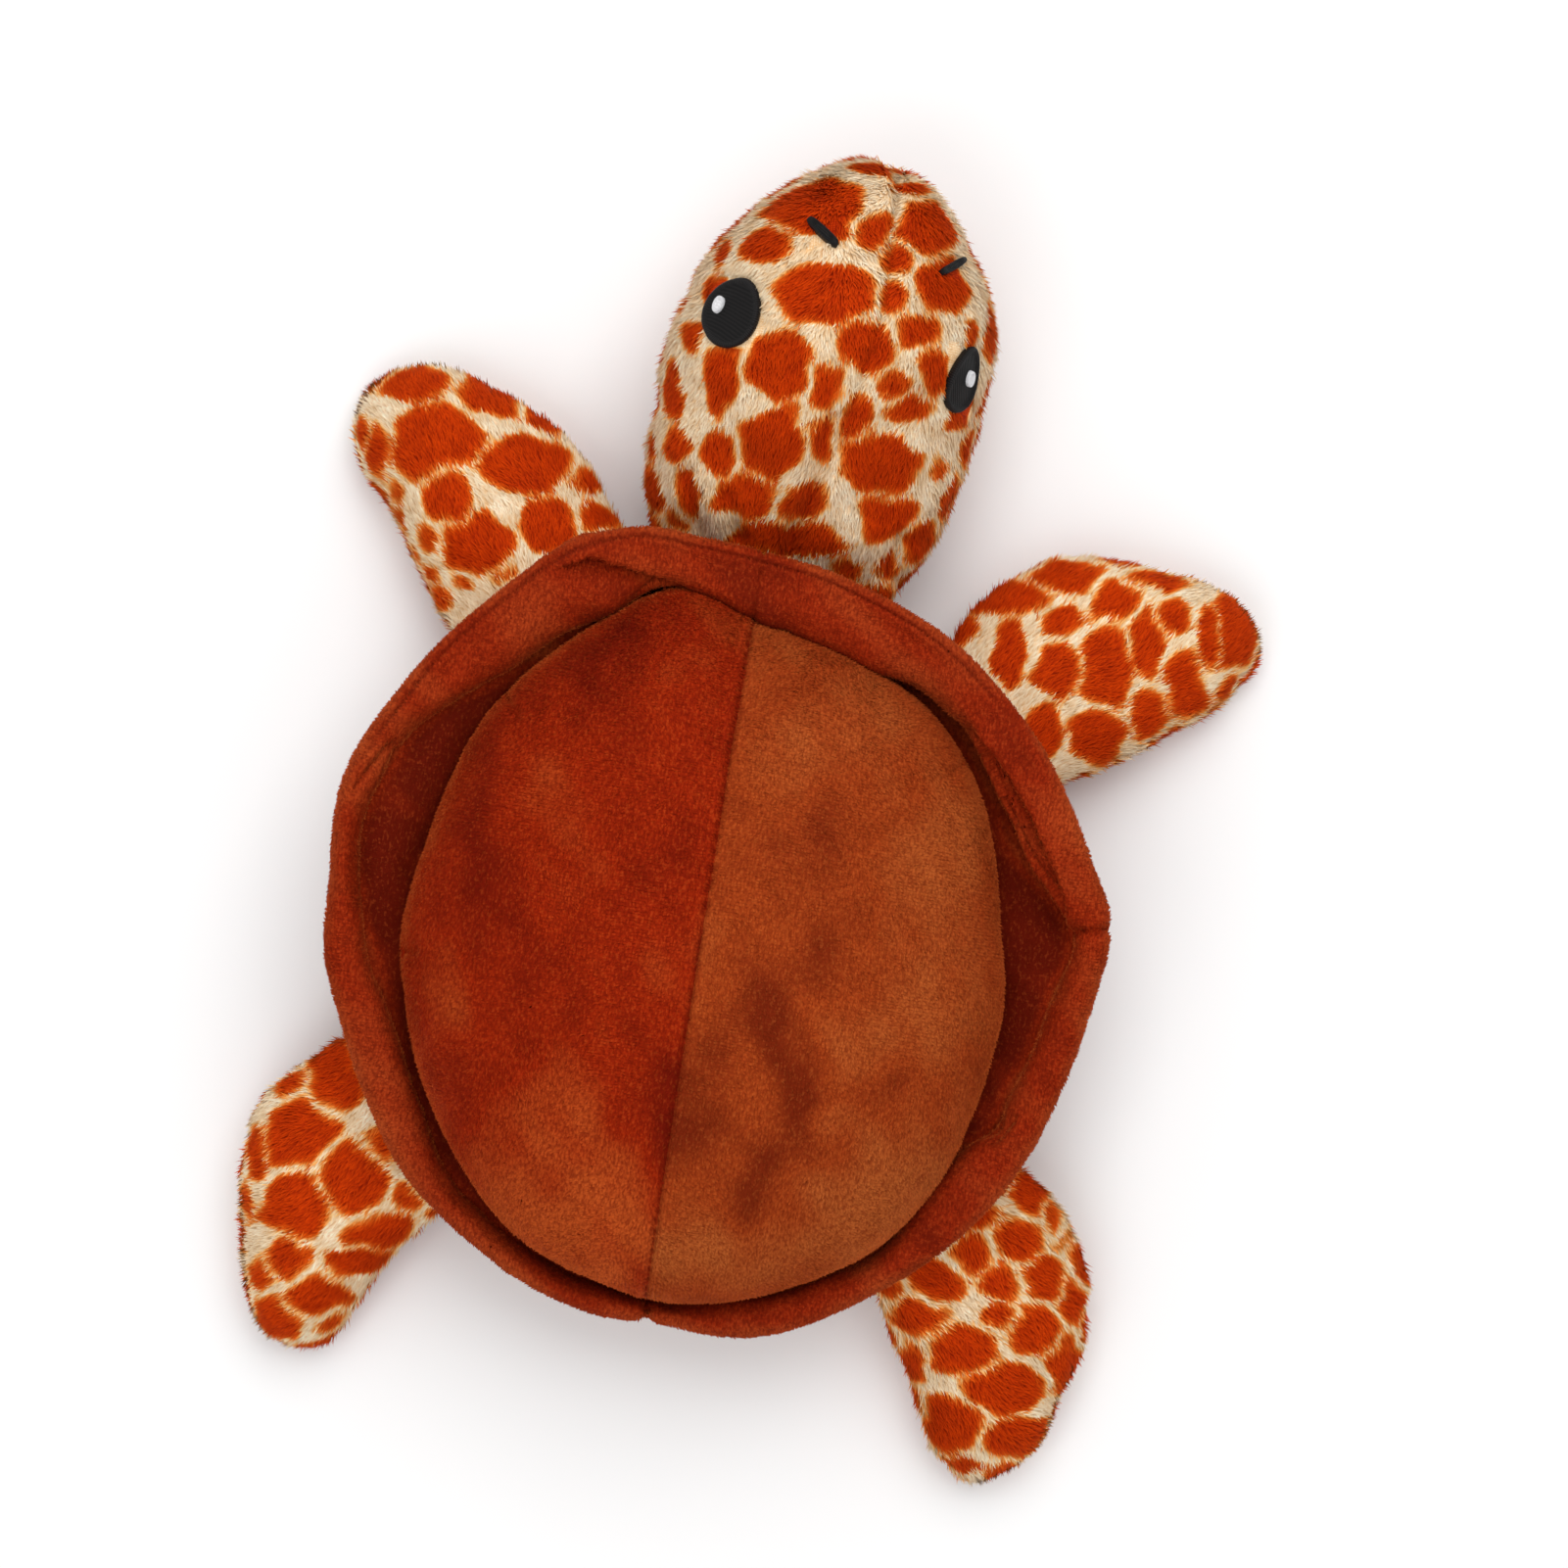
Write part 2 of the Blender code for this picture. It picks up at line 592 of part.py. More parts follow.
add_shell()
add_rim()
add_belly_and_stuffing([(limb, limb_pivot(limb)) for limb in limbs])
for limb in limbs:
    place = limb_pivot(limb)
    turn_pivot = make_pivot(f"{limb.name}_turn_axis", place)
    bend_pivot = make_pivot(f"{limb.name}_bend_axis", place, turn_pivot)
    add_root_seam(limb, place, turn_pivot)
    if limb.name == "head":
        halves = (("head_cover_left", 0.0, (seam_gap / 2, 0.0)),
                  ("head_cover_right", math.pi, (-seam_gap / 2, 0.0)))
        sides = head_half_section_sides
    else:
        halves = ((f"{limb.name}_top", -math.pi / 2, (0.0, seam_gap / 2)),
                  (f"{limb.name}_underside", math.pi / 2, (0.0, -seam_gap / 2)))
        sides = half_section_sides
    for name, start, shift in halves:
        add_piece(name, cover_half(limb, start, sides, shift), fur, bend_pivot, place)
    add_piece(f"{limb.name}_stuffing", limb_filling(limb, halves[0][1], sides), stuffing,
              bend_pivot, place)
    if limb.name == "head":
        add_face(bend_pivot, place)
    print(limb.name, "pivot", tuple(round(value, 5) for value in place))
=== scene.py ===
import math

import bmesh
import bpy
import numpy as np
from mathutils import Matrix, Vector
from mathutils.bvhtree import BVHTree
from mathutils.kdtree import KDTree


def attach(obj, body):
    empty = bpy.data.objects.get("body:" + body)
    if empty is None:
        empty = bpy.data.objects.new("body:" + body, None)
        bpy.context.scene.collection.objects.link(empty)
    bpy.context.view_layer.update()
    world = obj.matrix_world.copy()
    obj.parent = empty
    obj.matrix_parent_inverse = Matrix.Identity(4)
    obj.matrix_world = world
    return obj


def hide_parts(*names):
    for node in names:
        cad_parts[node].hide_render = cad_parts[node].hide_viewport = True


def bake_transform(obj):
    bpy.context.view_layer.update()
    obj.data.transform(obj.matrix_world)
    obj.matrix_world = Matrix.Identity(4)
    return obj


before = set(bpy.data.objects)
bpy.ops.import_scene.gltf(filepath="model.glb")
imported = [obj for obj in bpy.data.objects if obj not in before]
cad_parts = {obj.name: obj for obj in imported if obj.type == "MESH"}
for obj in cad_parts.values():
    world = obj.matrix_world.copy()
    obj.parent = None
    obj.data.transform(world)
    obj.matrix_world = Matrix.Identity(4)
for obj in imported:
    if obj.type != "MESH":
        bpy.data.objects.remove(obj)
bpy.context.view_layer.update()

# Domed top of the shell: two half-oval panels of rust-brown minky, a knitted plush with a short
# brushed pile. One machine-sewn seam joins them along the middle, and loose fibre fills them
# tight. Their lower edge turns in under the bulge and is caught in the side seam.
photo_side = 1601
view_width = 0.4803
view_level = 0.050
photo_pixel = view_width / photo_side
camera_place = Vector((-0.0170, -0.0527, 1.5))
camera_turn = math.radians(189.05)
photo_right = Vector((math.cos(camera_turn), math.sin(camera_turn), 0.0))
photo_up = Vector((-math.sin(camera_turn), math.cos(camera_turn), 0.0))
side_seam_level = 0.040
dome_bulge_level = 0.055
dome_crown_level = 0.1035
dome_tuck = 0.007
dome_fullness = 2.2
dome_inset = 0.0006
dome_sides = 96
minky_cell = 0.00104
minky_pile = 0.0013
minky_lean_deg = 52
minky_tangle = 0.35
minky_softness = 0.7
tuft_shuffle = 0.3
tuft_sway_deg = 6
stray_lift_deg = 20
lowest_tuft = 0.0003
ripple_waves = 7
ripple_height = 2.6
shell_stitch = 0.00275
shell_seam_depth = 0.0006
shell_allowance_off = 0.0024
shell_dart_depth = 0.0016
seam_gap = 0.00003
cut_corners = 8
filling_frames = 20
shell_form_cell = 0.004
shell_pressure = 60.0
shell_cap = 0.002
shell_held_beside = 0.003
shell_held_below = 0.004
dome_spots = (
    (706, 596), (650, 612), (581, 650), (513, 706), (457, 798), (421, 885), (405, 963),
    (411, 1025), (433, 1115), (466, 1193), (516, 1255), (584, 1300), (651, 1325), (746, 1328),
    (825, 1311), (898, 1278), (948, 1227), (988, 1165), (1016, 1081), (1027, 1014), (1024, 946),
    (1016, 868), (993, 789), (954, 728), (892, 683), (825, 649), (769, 629))
dart_marks = (((519, 714), (532, 728)), ((985, 778), (968, 790)), ((410, 972), (424, 968)))


def spot(u, v, level=view_level):
    """The place, at a level, of a point of the photograph."""
    step = photo_pixel * (camera_place.z - level) / (camera_place.z - view_level)
    place = camera_place + step * ((u - photo_side / 2) * photo_right
                                   + (photo_side / 2 - v) * photo_up)
    return Vector((place.x, place.y, level))


def bell(distance, width):
    """1 at no distance, falling smoothly to next to nothing at twice the width."""
    return np.exp(-(distance / width) ** 2)


def polar(places):
    """Places seen from above, in order round the shell's middle: degrees and distances."""
    return sorted((math.degrees(math.atan2(place.y, place.x)), place.xy.length)
                  for place in places)


def outline(spots, level, blur_deg=2.0):
    """How far a smooth line through spots of the photograph lies from the shell's middle, for
    each degree round it."""
    turn, reach = np.array(polar([spot(u, v, level) for u, v in spots])).T
    turn = np.concatenate([turn[-2:] - 360, turn, turn[:2] + 360])
    reach = np.concatenate([reach[-2:], reach, reach[:2]])
    slope = np.gradient(reach, turn)
    degrees = (np.arange(360) + 180) % 360 - 180
    last = np.clip(np.searchsorted(turn, degrees, "right") - 1, 0, len(turn) - 2)
    gap = turn[last + 1] - turn[last]
    share = (degrees - turn[last]) / gap
    curve = ((1 + 2 * share) * (1 - share) ** 2 * reach[last]
             + share * (1 - share) ** 2 * gap * slope[last]
             + share ** 2 * (3 - 2 * share) * reach[last + 1]
             + share ** 2 * (share - 1) * gap * slope[last + 1])
    blur = bell(np.minimum(np.arange(360), 360 - np.arange(360)), blur_deg)
    return np.real(np.fft.ifft(np.fft.fft(curve) * np.fft.fft(blur / blur.sum())))


def around(curve, angle):
    """The reach of an outline at an angle."""
    return np.interp(np.degrees(angle), np.arange(360), curve, period=360)


def level_loop(angles, reach, level):
    """A loop of points round the shell's middle, all at one level."""
    return [Vector((r * math.cos(angle), r * math.sin(angle), level))
            for angle, r in zip(angles, reach)]


def closing_loops(angles, reach, shares, fullness, start_level, end_level):
    """Level loops that draw in from an outline to a rounded end at another level."""
    loops = []
    for share in shares:
        out = math.sin(share * math.pi / 2) ** (2 / fullness)
        on = math.cos(share * math.pi / 2) ** (2 / fullness)
        loops.append(level_loop(angles, reach * out, start_level + (end_level - start_level) * on))
    return loops


def raise_rings(rings):
    """A closed form: a first loop of points is extruded and moved to each next loop."""
    bm = bmesh.new()
    ring = [bm.verts.new(point) for point in rings[0]]
    bm.faces.new(ring)
    edges = list(bm.edges)
    for points in rings[1:]:
        made = bmesh.ops.extrude_edge_only(bm, edges=edges)["geom"]
        fresh = {item for item in made if isinstance(item, bmesh.types.BMVert)}
        edges = [item for item in made
                 if isinstance(item, bmesh.types.BMEdge) and fresh.issuperset(item.verts)]
        ring = [next(edge.other_vert(vert) for edge in vert.link_edges
                     if edge.other_vert(vert) in fresh) for vert in ring]
        for vert, point in zip(ring, points):
            vert.co = point
    bm.faces.new(ring)
    bmesh.ops.recalc_face_normals(bm, faces=bm.faces)
    return bm


def place_object(name, bm):
    mesh = bpy.data.meshes.new(name)
    bm.to_mesh(mesh)
    bm.free()
    piece = bpy.data.objects.new(name, mesh)
    bpy.context.collection.objects.link(piece)
    return piece


def settle(piece):
    """Makes a piece's modifiers part of its mesh."""
    shaped = piece.evaluated_get(bpy.context.evaluated_depsgraph_get())
    mesh = bpy.data.meshes.new_from_object(shaped)
    piece.modifiers.clear()
    piece.data = mesh
    return piece


def even_cells(piece, cell, smoothing=3, rounding=0):
    """Meshes a form again with quads of one size, small enough to carry a tuft each."""
    if rounding:
        cage = piece.modifiers.new("rounding", "SUBSURF")
        cage.levels = cage.render_levels = rounding
    remesh = piece.modifiers.new("even cells", "REMESH")
    remesh.mode = "VOXEL"
    remesh.voxel_size = cell
    relax = piece.modifiers.new("relax", "SMOOTH")
    relax.factor = 0.5
    relax.iterations = smoothing
    return settle(piece)


def places_of(mesh, what="co"):
    values = np.empty(len(mesh.vertices) * 3, np.float32)
    mesh.vertices.foreach_get(what, values)
    return values.reshape(-1, 3).astype(float)


def move_to(mesh, places):
    mesh.vertices.foreach_set("co", places.astype(np.float32).ravel())
    mesh.update()


def press_in(mesh, places, outward, depth):
    """Sinks each place of a skin by its depth, or lifts it if that is negative."""
    move_to(mesh, places - outward * depth[:, None])


def fill_out(form, held, pressure, cap):
    """Swells a form by a cloth simulation with pressure inside it. held tells, for each place of
    its mesh, where the cloth is sewn down, and no place moves further than cap."""
    before = places_of(form.data)
    sewn = form.vertex_groups.new(name="sewn")
    for index in np.flatnonzero(held):
        sewn.add([int(index)], 1.0, "REPLACE")
    cloth = form.modifiers.new("filling", "CLOTH")
    cloth.settings.vertex_group_mass = "sewn"
    cloth.settings.use_pressure = True
    cloth.settings.uniform_pressure_force = pressure
    cloth.settings.effector_weights.gravity = 0.0
    cloth.point_cache.frame_start, cloth.point_cache.frame_end = 1, filling_frames
    for step in range(1, filling_frames + 1):
        bpy.context.scene.frame_set(step)
    settle(form)
    bpy.context.scene.frame_set(1)
    moved = places_of(form.data) - before
    far = np.linalg.norm(moved, axis=1)[:, None]
    move_to(form.data, before + moved * np.minimum(1, cap / (far + 1e-9)))


def keep_half(piece, middle, normal):
    """Cuts a form at a seam, keeps the side that normal points to and closes the cut."""
    normal = Vector(normal)
    bm = bmesh.new()
    bm.from_mesh(piece.data)
    bmesh.ops.bisect_plane(bm, geom=bm.verts[:] + bm.edges[:] + bm.faces[:],
                           plane_co=Vector(middle) + seam_gap * normal, plane_no=-normal,
                           clear_outer=True)
    bmesh.ops.holes_fill(bm, edges=[edge for edge in bm.edges if edge.is_boundary], sides=0)
    bm.to_mesh(piece.data)
    bm.free()


def half_of(form, name, middle, normal):
    """A copy of a form, cut to one half."""
    half = form.copy()
    half.name, half.data = name, form.data.copy()
    bpy.context.collection.objects.link(half)
    keep_half(half, middle, normal)
    return half


def unit(ways):
    """The same ways, each of length 1."""
    return ways / (np.linalg.norm(ways, axis=1)[:, None] + 1e-9)


def along_skin(ways, outward):
    """What is left of each way when its part straight out of the skin is taken off."""
    return ways - np.sum(ways * outward, 1)[:, None] * outward


def outward_of(mesh):
    """Each place's way out, and whether it lies on a cut, where the way out is along the cut.
    A cut is closed by a face with many corners."""
    outward = places_of(mesh, "normal")
    on_cut = np.zeros(len(outward), bool)
    for face in mesh.polygons:
        if len(face.vertices) >= cut_corners:
            border, across = list(face.vertices), np.array(face.normal)
            on_cut[border] = True
            outward[border] = unit(outward[border] - (outward[border] @ across)[:, None] * across)
    return outward, on_cut


def ripple(places, wavelength, seed):
    """A smooth, aimless wave through space, a sum of plain ones, mostly from -1 to 1."""
    rng = np.random.default_rng(seed)
    total = np.zeros(len(places))
    for _ in range(ripple_waves):
        way = rng.normal(size=3)
        way *= 2 * math.pi / (wavelength * rng.uniform(0.7, 1.5) * np.linalg.norm(way))
        total += np.sin(places @ way + rng.uniform(0, 2 * math.pi))
    return total / ripple_height


def line_distance(places, line):
    """How far each place lies from a line of spots, seen from above."""
    nearest = np.full(len(places), 1.0)
    for start, end in zip(line, line[1:]):
        step = np.array(end[:2]) - np.array(start[:2])
        away = places[:, :2] - np.array(start[:2])
        along = np.clip(away @ step / (step @ step), 0, 1)
        nearest = np.minimum(nearest, np.linalg.norm(away - along[:, None] * step, axis=1))
    return nearest


def set_values(mesh, name, values):
    layer = mesh.attributes.get(name) or mesh.attributes.new(name, "FLOAT", "POINT")
    layer.data.foreach_set("value", values.astype(np.float32))


def grow_pile(piece, length, lean_deg, nap, tangle, seed, bare=None, uneven=(0.65, 1.25),
              strays=0.0, softness=0.5):
    """Pokes a tuft out of each face and lays it over along the nap. nap gives a direction for
    each place, and bare is a share of the length, for each place, that is left standing. uneven
    is how much shorter and longer tufts are, strays the share of them that stand up, and softness
    how far the skin's shading hides single tufts. Gives the places that carry the dye."""
    rng = np.random.default_rng(seed)
    mesh = piece.data
    bm = bmesh.new()
    bm.from_mesh(mesh)
    skin = len(bm.verts)
    bmesh.ops.poke(bm, faces=[face for face in bm.faces if len(face.verts) < cut_corners])
    bm.to_mesh(mesh)
    bm.free()
    places, (outward, on_cut) = places_of(mesh), outward_of(mesh)
    roots = places.copy()
    cell = math.sqrt(sum(face.area for face in mesh.polygons) / (len(places) - skin))
    shuffle = rng.uniform(-tuft_shuffle, tuft_shuffle, (skin, 3)) * cell
    shuffle[on_cut[:skin]] = 0
    places[:skin] += along_skin(shuffle, outward[:skin])
    out = outward[skin:]
    along = unit(along_skin(nap(roots[skin:], out), out))
    across = np.cross(out, along)
    stray = rng.normal(0, tangle, len(out))[:, None]
    lay = along * np.cos(stray) + across * np.sin(stray)
    lean = lean_deg + rng.normal(0, tuft_sway_deg, len(out))
    lean += tuft_sway_deg * ripple(roots[skin:], 0.008, seed)
    lean[rng.random(len(out)) < strays] -= stray_lift_deg
    lean = np.radians(np.clip(lean, 5, 84))[:, None]
    reach = length * rng.uniform(*uneven, len(out))[:, None]
    if bare is not None:
        reach *= bare(roots[skin:])[:, None]
    offset = reach * (out * np.cos(lean) + lay * np.sin(lean))
    places[skin:] += offset
    places[:, 2] = np.maximum(places[:, 2], lowest_tuft)
    move_to(mesh, places)
    ends = np.zeros(len(places))
    ends[skin:] = 1.0
    set_values(mesh, "tip", ends)
    set_values(mesh, "tuft", rng.uniform(0, 1, len(places)))
    mesh.shade_smooth()
    shading = unit(outward * softness + places_of(mesh, "normal") * (1 - softness))
    mesh.normals_split_custom_set_from_vertices(shading)
    dyed = roots
    dyed[skin:] += offset * rng.uniform(0.35, 1.0, len(out))[:, None]
    return dyed


def new_material(name, finish):
    """A material, its nodes and its shader, on which finish sets constant values."""
    material = bpy.data.materials.new(name)
    material.use_nodes = True
    shader = material.node_tree.nodes["Principled BSDF"]
    for socket, value in finish.items():
        shader.inputs[socket].default_value = value
    return material, material.node_tree, shader


def add_node(tree, kind, links=None, **settings):
    """Adds a node. links gives, for an input, a value or the output that feeds it."""
    node = tree.nodes.new(kind)
    for name, value in settings.items():
        setattr(node, name, value)
    for name, value in (links or {}).items():
        if isinstance(value, bpy.types.NodeSocket):
            tree.links.new(value, node.inputs[name])
        else:
            node.inputs[name].default_value = value
    return node


def colour(red, green, blue):
    """A colour as a screen shows it, from 0 to 255, in the linear values that shaders take."""
    linear = [c / 12.92 if c <= 0.04045 else ((c + 0.055) / 1.055) ** 2.4
              for c in (red / 255, green / 255, blue / 255)]
    return (*linear, 1.0)


def value_of(tree, name):
    return add_node(tree, "ShaderNodeAttribute", attribute_name=name).outputs["Fac"]


def blend_colours(tree, share, first, second, way="MIX"):
    mix = add_node(tree, "ShaderNodeMix", {0: share}, data_type="RGBA", blend_type=way)
    for socket, value in ((mix.inputs[6], first), (mix.inputs[7], second)):
        if isinstance(value, bpy.types.NodeSocket):
            tree.links.new(value, socket)
        else:
            socket.default_value = value
    return mix.outputs[2]


def map_range(tree, value, low, high, to_low=0.0, to_high=1.0):
    node = add_node(tree, "ShaderNodeMapRange",
                    {0: value, 1: low, 2: high, 3: to_low, 4: to_high})
    return node.outputs[0]


def object_place(tree):
    return add_node(tree, "ShaderNodeTexCoord").outputs["Object"]


def add_bump(tree, shader, height, strength, distance):
    bump = add_node(tree, "ShaderNodeBump",
                    {"Height": height, "Strength": strength, "Distance": distance})
    tree.links.new(bump.outputs[0], shader.inputs["Normal"])


def noise(tree, scale, detail=2.0, stretch=(1, 1, 1), turn_deg=0.0):
    laid = add_node(tree, "ShaderNodeMapping",
                    {"Vector": object_place(tree), "Scale": stretch,
                     "Rotation": (0.0, 0.0, math.radians(turn_deg))})
    return add_node(tree, "ShaderNodeTexNoise",
                    {"Vector": laid.outputs[0], "Scale": scale, "Detail": detail}).outputs[0]


minky_finish = {"Roughness": 0.85, "Specular IOR Level": 0.06, "Sheen Weight": 0.5,
                "Sheen Roughness": 0.3, "Sheen Tint": colour(255, 120, 55)}


def minky_material(name, shade, body, lit, nap_deg):
    """Short pile with a fine grain. Its roots are painted dark as the shade between its tufts, and
    its tips are lighter. Where the nap turns towards or away from the light it is painted lighter
    or darker as sheen and shade, and its seams and stitch holes are painted darker as shade.
    """
    material, tree, shader = new_material(name, minky_finish)
    # Painted sheen and shade of the nap, and the grain, blend the body colour towards lit and shade.
    nap_light_and_shade = value_of(tree, "nap_light_and_shade")
    flecks = noise(tree, 1150.0, 2.0, (1.0, 0.55, 1.0), nap_deg)
    base = body
    for value, low, high, low_share, high_share, tint in (
            (nap_light_and_shade, 0.40, 0.90, 0.0, 1.0, lit), (nap_light_and_shade, 0.38, 0.0, 0.0, 1.0, shade),
            (flecks, 0.36, 0.58, 0.60, 0.0, shade), (flecks, 0.54, 0.70, 0.0, 0.28, lit),
            # Painted shade at the roots of the tufts, darkest where they leave the skin.
            (value_of(tree, "tip"), 0.0, 0.75, 0.28, 0.0, shade),
            # Painted shade in the seams' valleys and stitch holes.
            (value_of(tree, "seam"), 0.0, 1.0, 0.0, 1.0, shade)):
        share = map_range(tree, value, low, high, low_share, high_share)
        base = blend_colours(tree, share, base, tint)
    tree.links.new(base, shader.inputs["Base Color"])
    add_bump(tree, shader, flecks, 0.35, 0.0006)
    return material


# The halves are one minky with its nap laid different ways: the left is painted darker and redder
# and the right lighter, as the sheen and shade that each nap takes from the light.
minky_left = minky_material("minky_rust_left", colour(108, 16, 1), colour(163, 39, 4),
                            colour(198, 84, 31), 35.0)
minky_right = minky_material("minky_rust_right", colour(118, 34, 7), colour(172, 68, 22),
                             colour(192, 97, 42), -30.0)

dome_edge = outline(dome_spots, dome_bulge_level)


def dome_loops():
    """Up from the side seam, out over the bulge and in over the crown."""
    angles = np.linspace(0, 2 * math.pi, dome_sides, endpoint=False)
    reach = around(dome_edge, angles) - dome_inset
    foot_level = side_seam_level + 0.0015
    loops = [level_loop(angles, reach - dome_tuck * (1 - share) ** 1.6,
                        foot_level + (dome_bulge_level - foot_level) * share)
             for share in (0.0, 0.5, 1.0)]
    return loops + closing_loops(angles, reach, np.linspace(0.93, 0.03, 18), dome_fullness,
                                 dome_bulge_level, dome_crown_level - dome_inset)


def nap_towards(way, wander, seed, wavelength=0.045):
    """A nap laid one way, that wanders a little from place to place."""
    def nap(places, outward):
        turn = wander * ripple(places, wavelength, seed)
        x, y, z = way
        return np.stack([x * np.cos(turn) - y * np.sin(turn),
                         x * np.sin(turn) + y * np.cos(turn), np.full(len(places), z)], 1)
    return nap


# Where the pile was stroked, in the photograph's points: middles, half sizes and how much
# lighter, or lines, half widths and how much lighter. All of them are painted sheen and shade.
# The light ones are where the pile faces the light, as along the rear of the dome. The dark ones
# are the marks of fingers, painted as the shade of pressed pile.
nap_light_marks = (
    (575, 1262, 120, 62, 0.95), (560, 1110, 60, 90, 0.35), (610, 1205, 60, 50, 0.40),
    (520, 900, 70, 160, -0.15), (960, 990, 60, 190, 0.35), (890, 1235, 90, 70, 0.95),
    (880, 1030, 60, 60, 0.35), (740, 1150, 26, 34, -0.12), (800, 780, 50, 50, 0.25),
    (830, 850, 60, 26, -0.12), (900, 760, 50, 60, 0.20), (735, 1290, 60, 40, 0.45),
    (450, 1010, 26, 90, -0.10), (700, 1180, 30, 80, -0.25), (802, 1070, 30, 34, -0.28),
    (806, 1165, 22, 26, -0.28))
finger_stroke_shade = (
    (((752, 985), (780, 1045), (805, 1100), (815, 1125)), 24, -0.26),
    (((818, 1105), (803, 1150), (786, 1190), (758, 1240)), 22, -0.36),
    (((930, 1097), (880, 1113), (822, 1122)), 15, -0.26),
    (((690, 1150), (676, 1240)), 20, -0.22), (((812, 1030), (830, 960), (822, 900)), 30, -0.07),
    (((705, 640), (735, 720), (728, 800)), 26, -0.10))
nap_light_mean = 0.40
mark_strength = 0.55


def seen_steps(away):
    """How far each step goes to the right and up in the photograph."""
    return away @ np.array(photo_right), away @ np.array(photo_up)


def nap_light_and_shade_at(places, seed, marks=(), strokes=()):
    """Painted light and shade of the pile, from how it was last stroked: near 0 it lies away from
    the light and is painted dark as shade, and near 1 it stands towards it and is painted light
    as sheen."""
    total = nap_light_mean + 0.13 * ripple(places, 0.035, seed)
    total += 0.07 * ripple(places, 0.012, seed + 1)
    wobble = 0.004 * np.stack([ripple(places, 0.02, seed + step) for step in (2, 3, 4)], 1)
    for u, v, wide, high, lighter in marks:
        across, along = seen_steps(places + wobble - np.array(spot(u, v, 0.085)))
        across, along = across / (wide * photo_pixel), along / (high * photo_pixel)
        total += lighter * mark_strength * np.exp(-(across ** 2 + along ** 2) ** 1.5)
    for line, wide, lighter in strokes:
        near = line_distance(places + 0.3 * wobble, [spot(u, v, 0.096) for u, v in line])
        total += lighter * bell(near, wide * photo_pixel)
    return np.clip(total, 0, 1)


def stitch_pull(places):
    """How hard the thread of the middle seam pulls: 1 at each stitch hole and 0 between them."""
    run = np.hypot(places[:, 1], (places[:, 2] - dome_bulge_level) * 0.7) * np.sign(places[:, 1])
    return 0.5 + 0.5 * np.cos(2 * math.pi * run / shell_stitch)


dome = even_cells(place_object("dome", raise_rings(dome_loops())), shell_form_cell, 1)
places = places_of(dome.data)
held = ((np.abs(places[:, 0]) < shell_held_beside)
        | (places[:, 2] < dome_bulge_level - shell_held_below))
fill_out(dome, held, shell_pressure, shell_cap)
even_cells(dome, minky_cell, 3, rounding=1)

for hand, side, cloth in (("left", 1.0, minky_left), ("right", -1.0, minky_right)):
    panel = half_of(dome, f"shell_{hand}", (0, 0, 0), (side, 0, 0))
    places, outward = places_of(panel.data), outward_of(panel.data)[0]
    beside = np.abs(places[:, 0])
    fold = bell(beside, 0.0012) * shell_seam_depth
    fold += bell(beside, 0.0010) * stitch_pull(places) * shell_seam_depth
    fold -= bell(places[:, 0] - shell_allowance_off, 0.0013) * shell_seam_depth
    for dart in dart_marks:
        near = line_distance(places, [spot(u, v, 0.06) for u, v in dart])
        fold += shell_dart_depth * bell(near, 0.0016)
    lumps = 0.0007 * ripple(places, 0.055, 11)
    press_in(panel.data, places, outward, np.where(outward[:, 2] > 0.1, fold, 0.0) - lumps)
    nap = nap_towards((0.35 * side, 1.0, -0.1), 0.9, 5)
    dyed = grow_pile(panel, minky_pile, minky_lean_deg, nap, minky_tangle,
                     21 if side > 0 else 22, softness=minky_softness)
    # Painted shade in the valley of the middle seam, deepest at the stitch holes.
    seam_line = bell(np.abs(dyed[:, 0]), 0.0008) * (dyed[:, 2] > 0.05)
    set_values(panel.data, "seam", seam_line * (0.30 + 0.60 * stitch_pull(dyed)))
    # Painted sheen and shade of the nap, with the finger marks painted as shade.
    set_values(panel.data, "nap_light_and_shade", nap_light_and_shade_at(dyed, 61, nap_light_marks, finger_stroke_shade))
    panel.data.materials.append(cloth)
    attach(panel, "torso")
    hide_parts(f"shell_panel_{hand}")
bpy.data.objects.remove(dome)

# Rim of the shell: a padded brim of the same minky, an upper and a lower layer turned right side out
# round sheet wadding. A row of topstitching keeps the rolled edge flat. Its two halves meet in a
# seam at the front and one at the tail, and its raw edge is caught in the shell's side seam.
rim_rise = 0.028
rim_rear_drop = 0.66
rim_rear_drop_power = 1.8
rim_edge_spots = (
    (786, 565), (713, 548), (651, 537), (623, 542), (567, 562), (511, 604), (460, 646), (404, 711),
    (365, 767), (345, 823), (339, 902), (332, 969), (347, 1036), (372, 1115), (419, 1207),
    (481, 1268), (543, 1313), (611, 1342), (665, 1349), (741, 1365), (804, 1358), (883, 1325),
    (954, 1283), (1005, 1238), (1055, 1171), (1089, 1098), (1111, 1036), (1128, 980), (1135, 944),
    (1117, 890), (1097, 834), (1072, 778), (1021, 705), (965, 649), (909, 613), (842, 582))
rim_lip_spots = (
    (830, 663), (797, 648), (759, 631), (701, 606), (656, 613), (600, 640), (555, 665), (520, 687),
    (480, 710), (435, 732), (400, 774), (372, 823), (366, 902), (376, 962), (394, 1025),
    (415, 1105), (434, 1165), (462, 1213), (512, 1265), (580, 1308), (658, 1330), (746, 1335),
    (825, 1315), (898, 1281), (948, 1216), (988, 1171), (1019, 1154), (1027, 1126), (1055, 1076),
    (1078, 1014), (1097, 963), (1078, 924), (1044, 879), (1003, 790), (981, 744), (937, 712),
    (881, 688), (840, 666))
rim_topstitch_inset = 0.0032
rim_topstitch = 0.0030
rim_mean_reach = 0.125
rim_stitched_middle = -78
rim_stitched_reach = 62
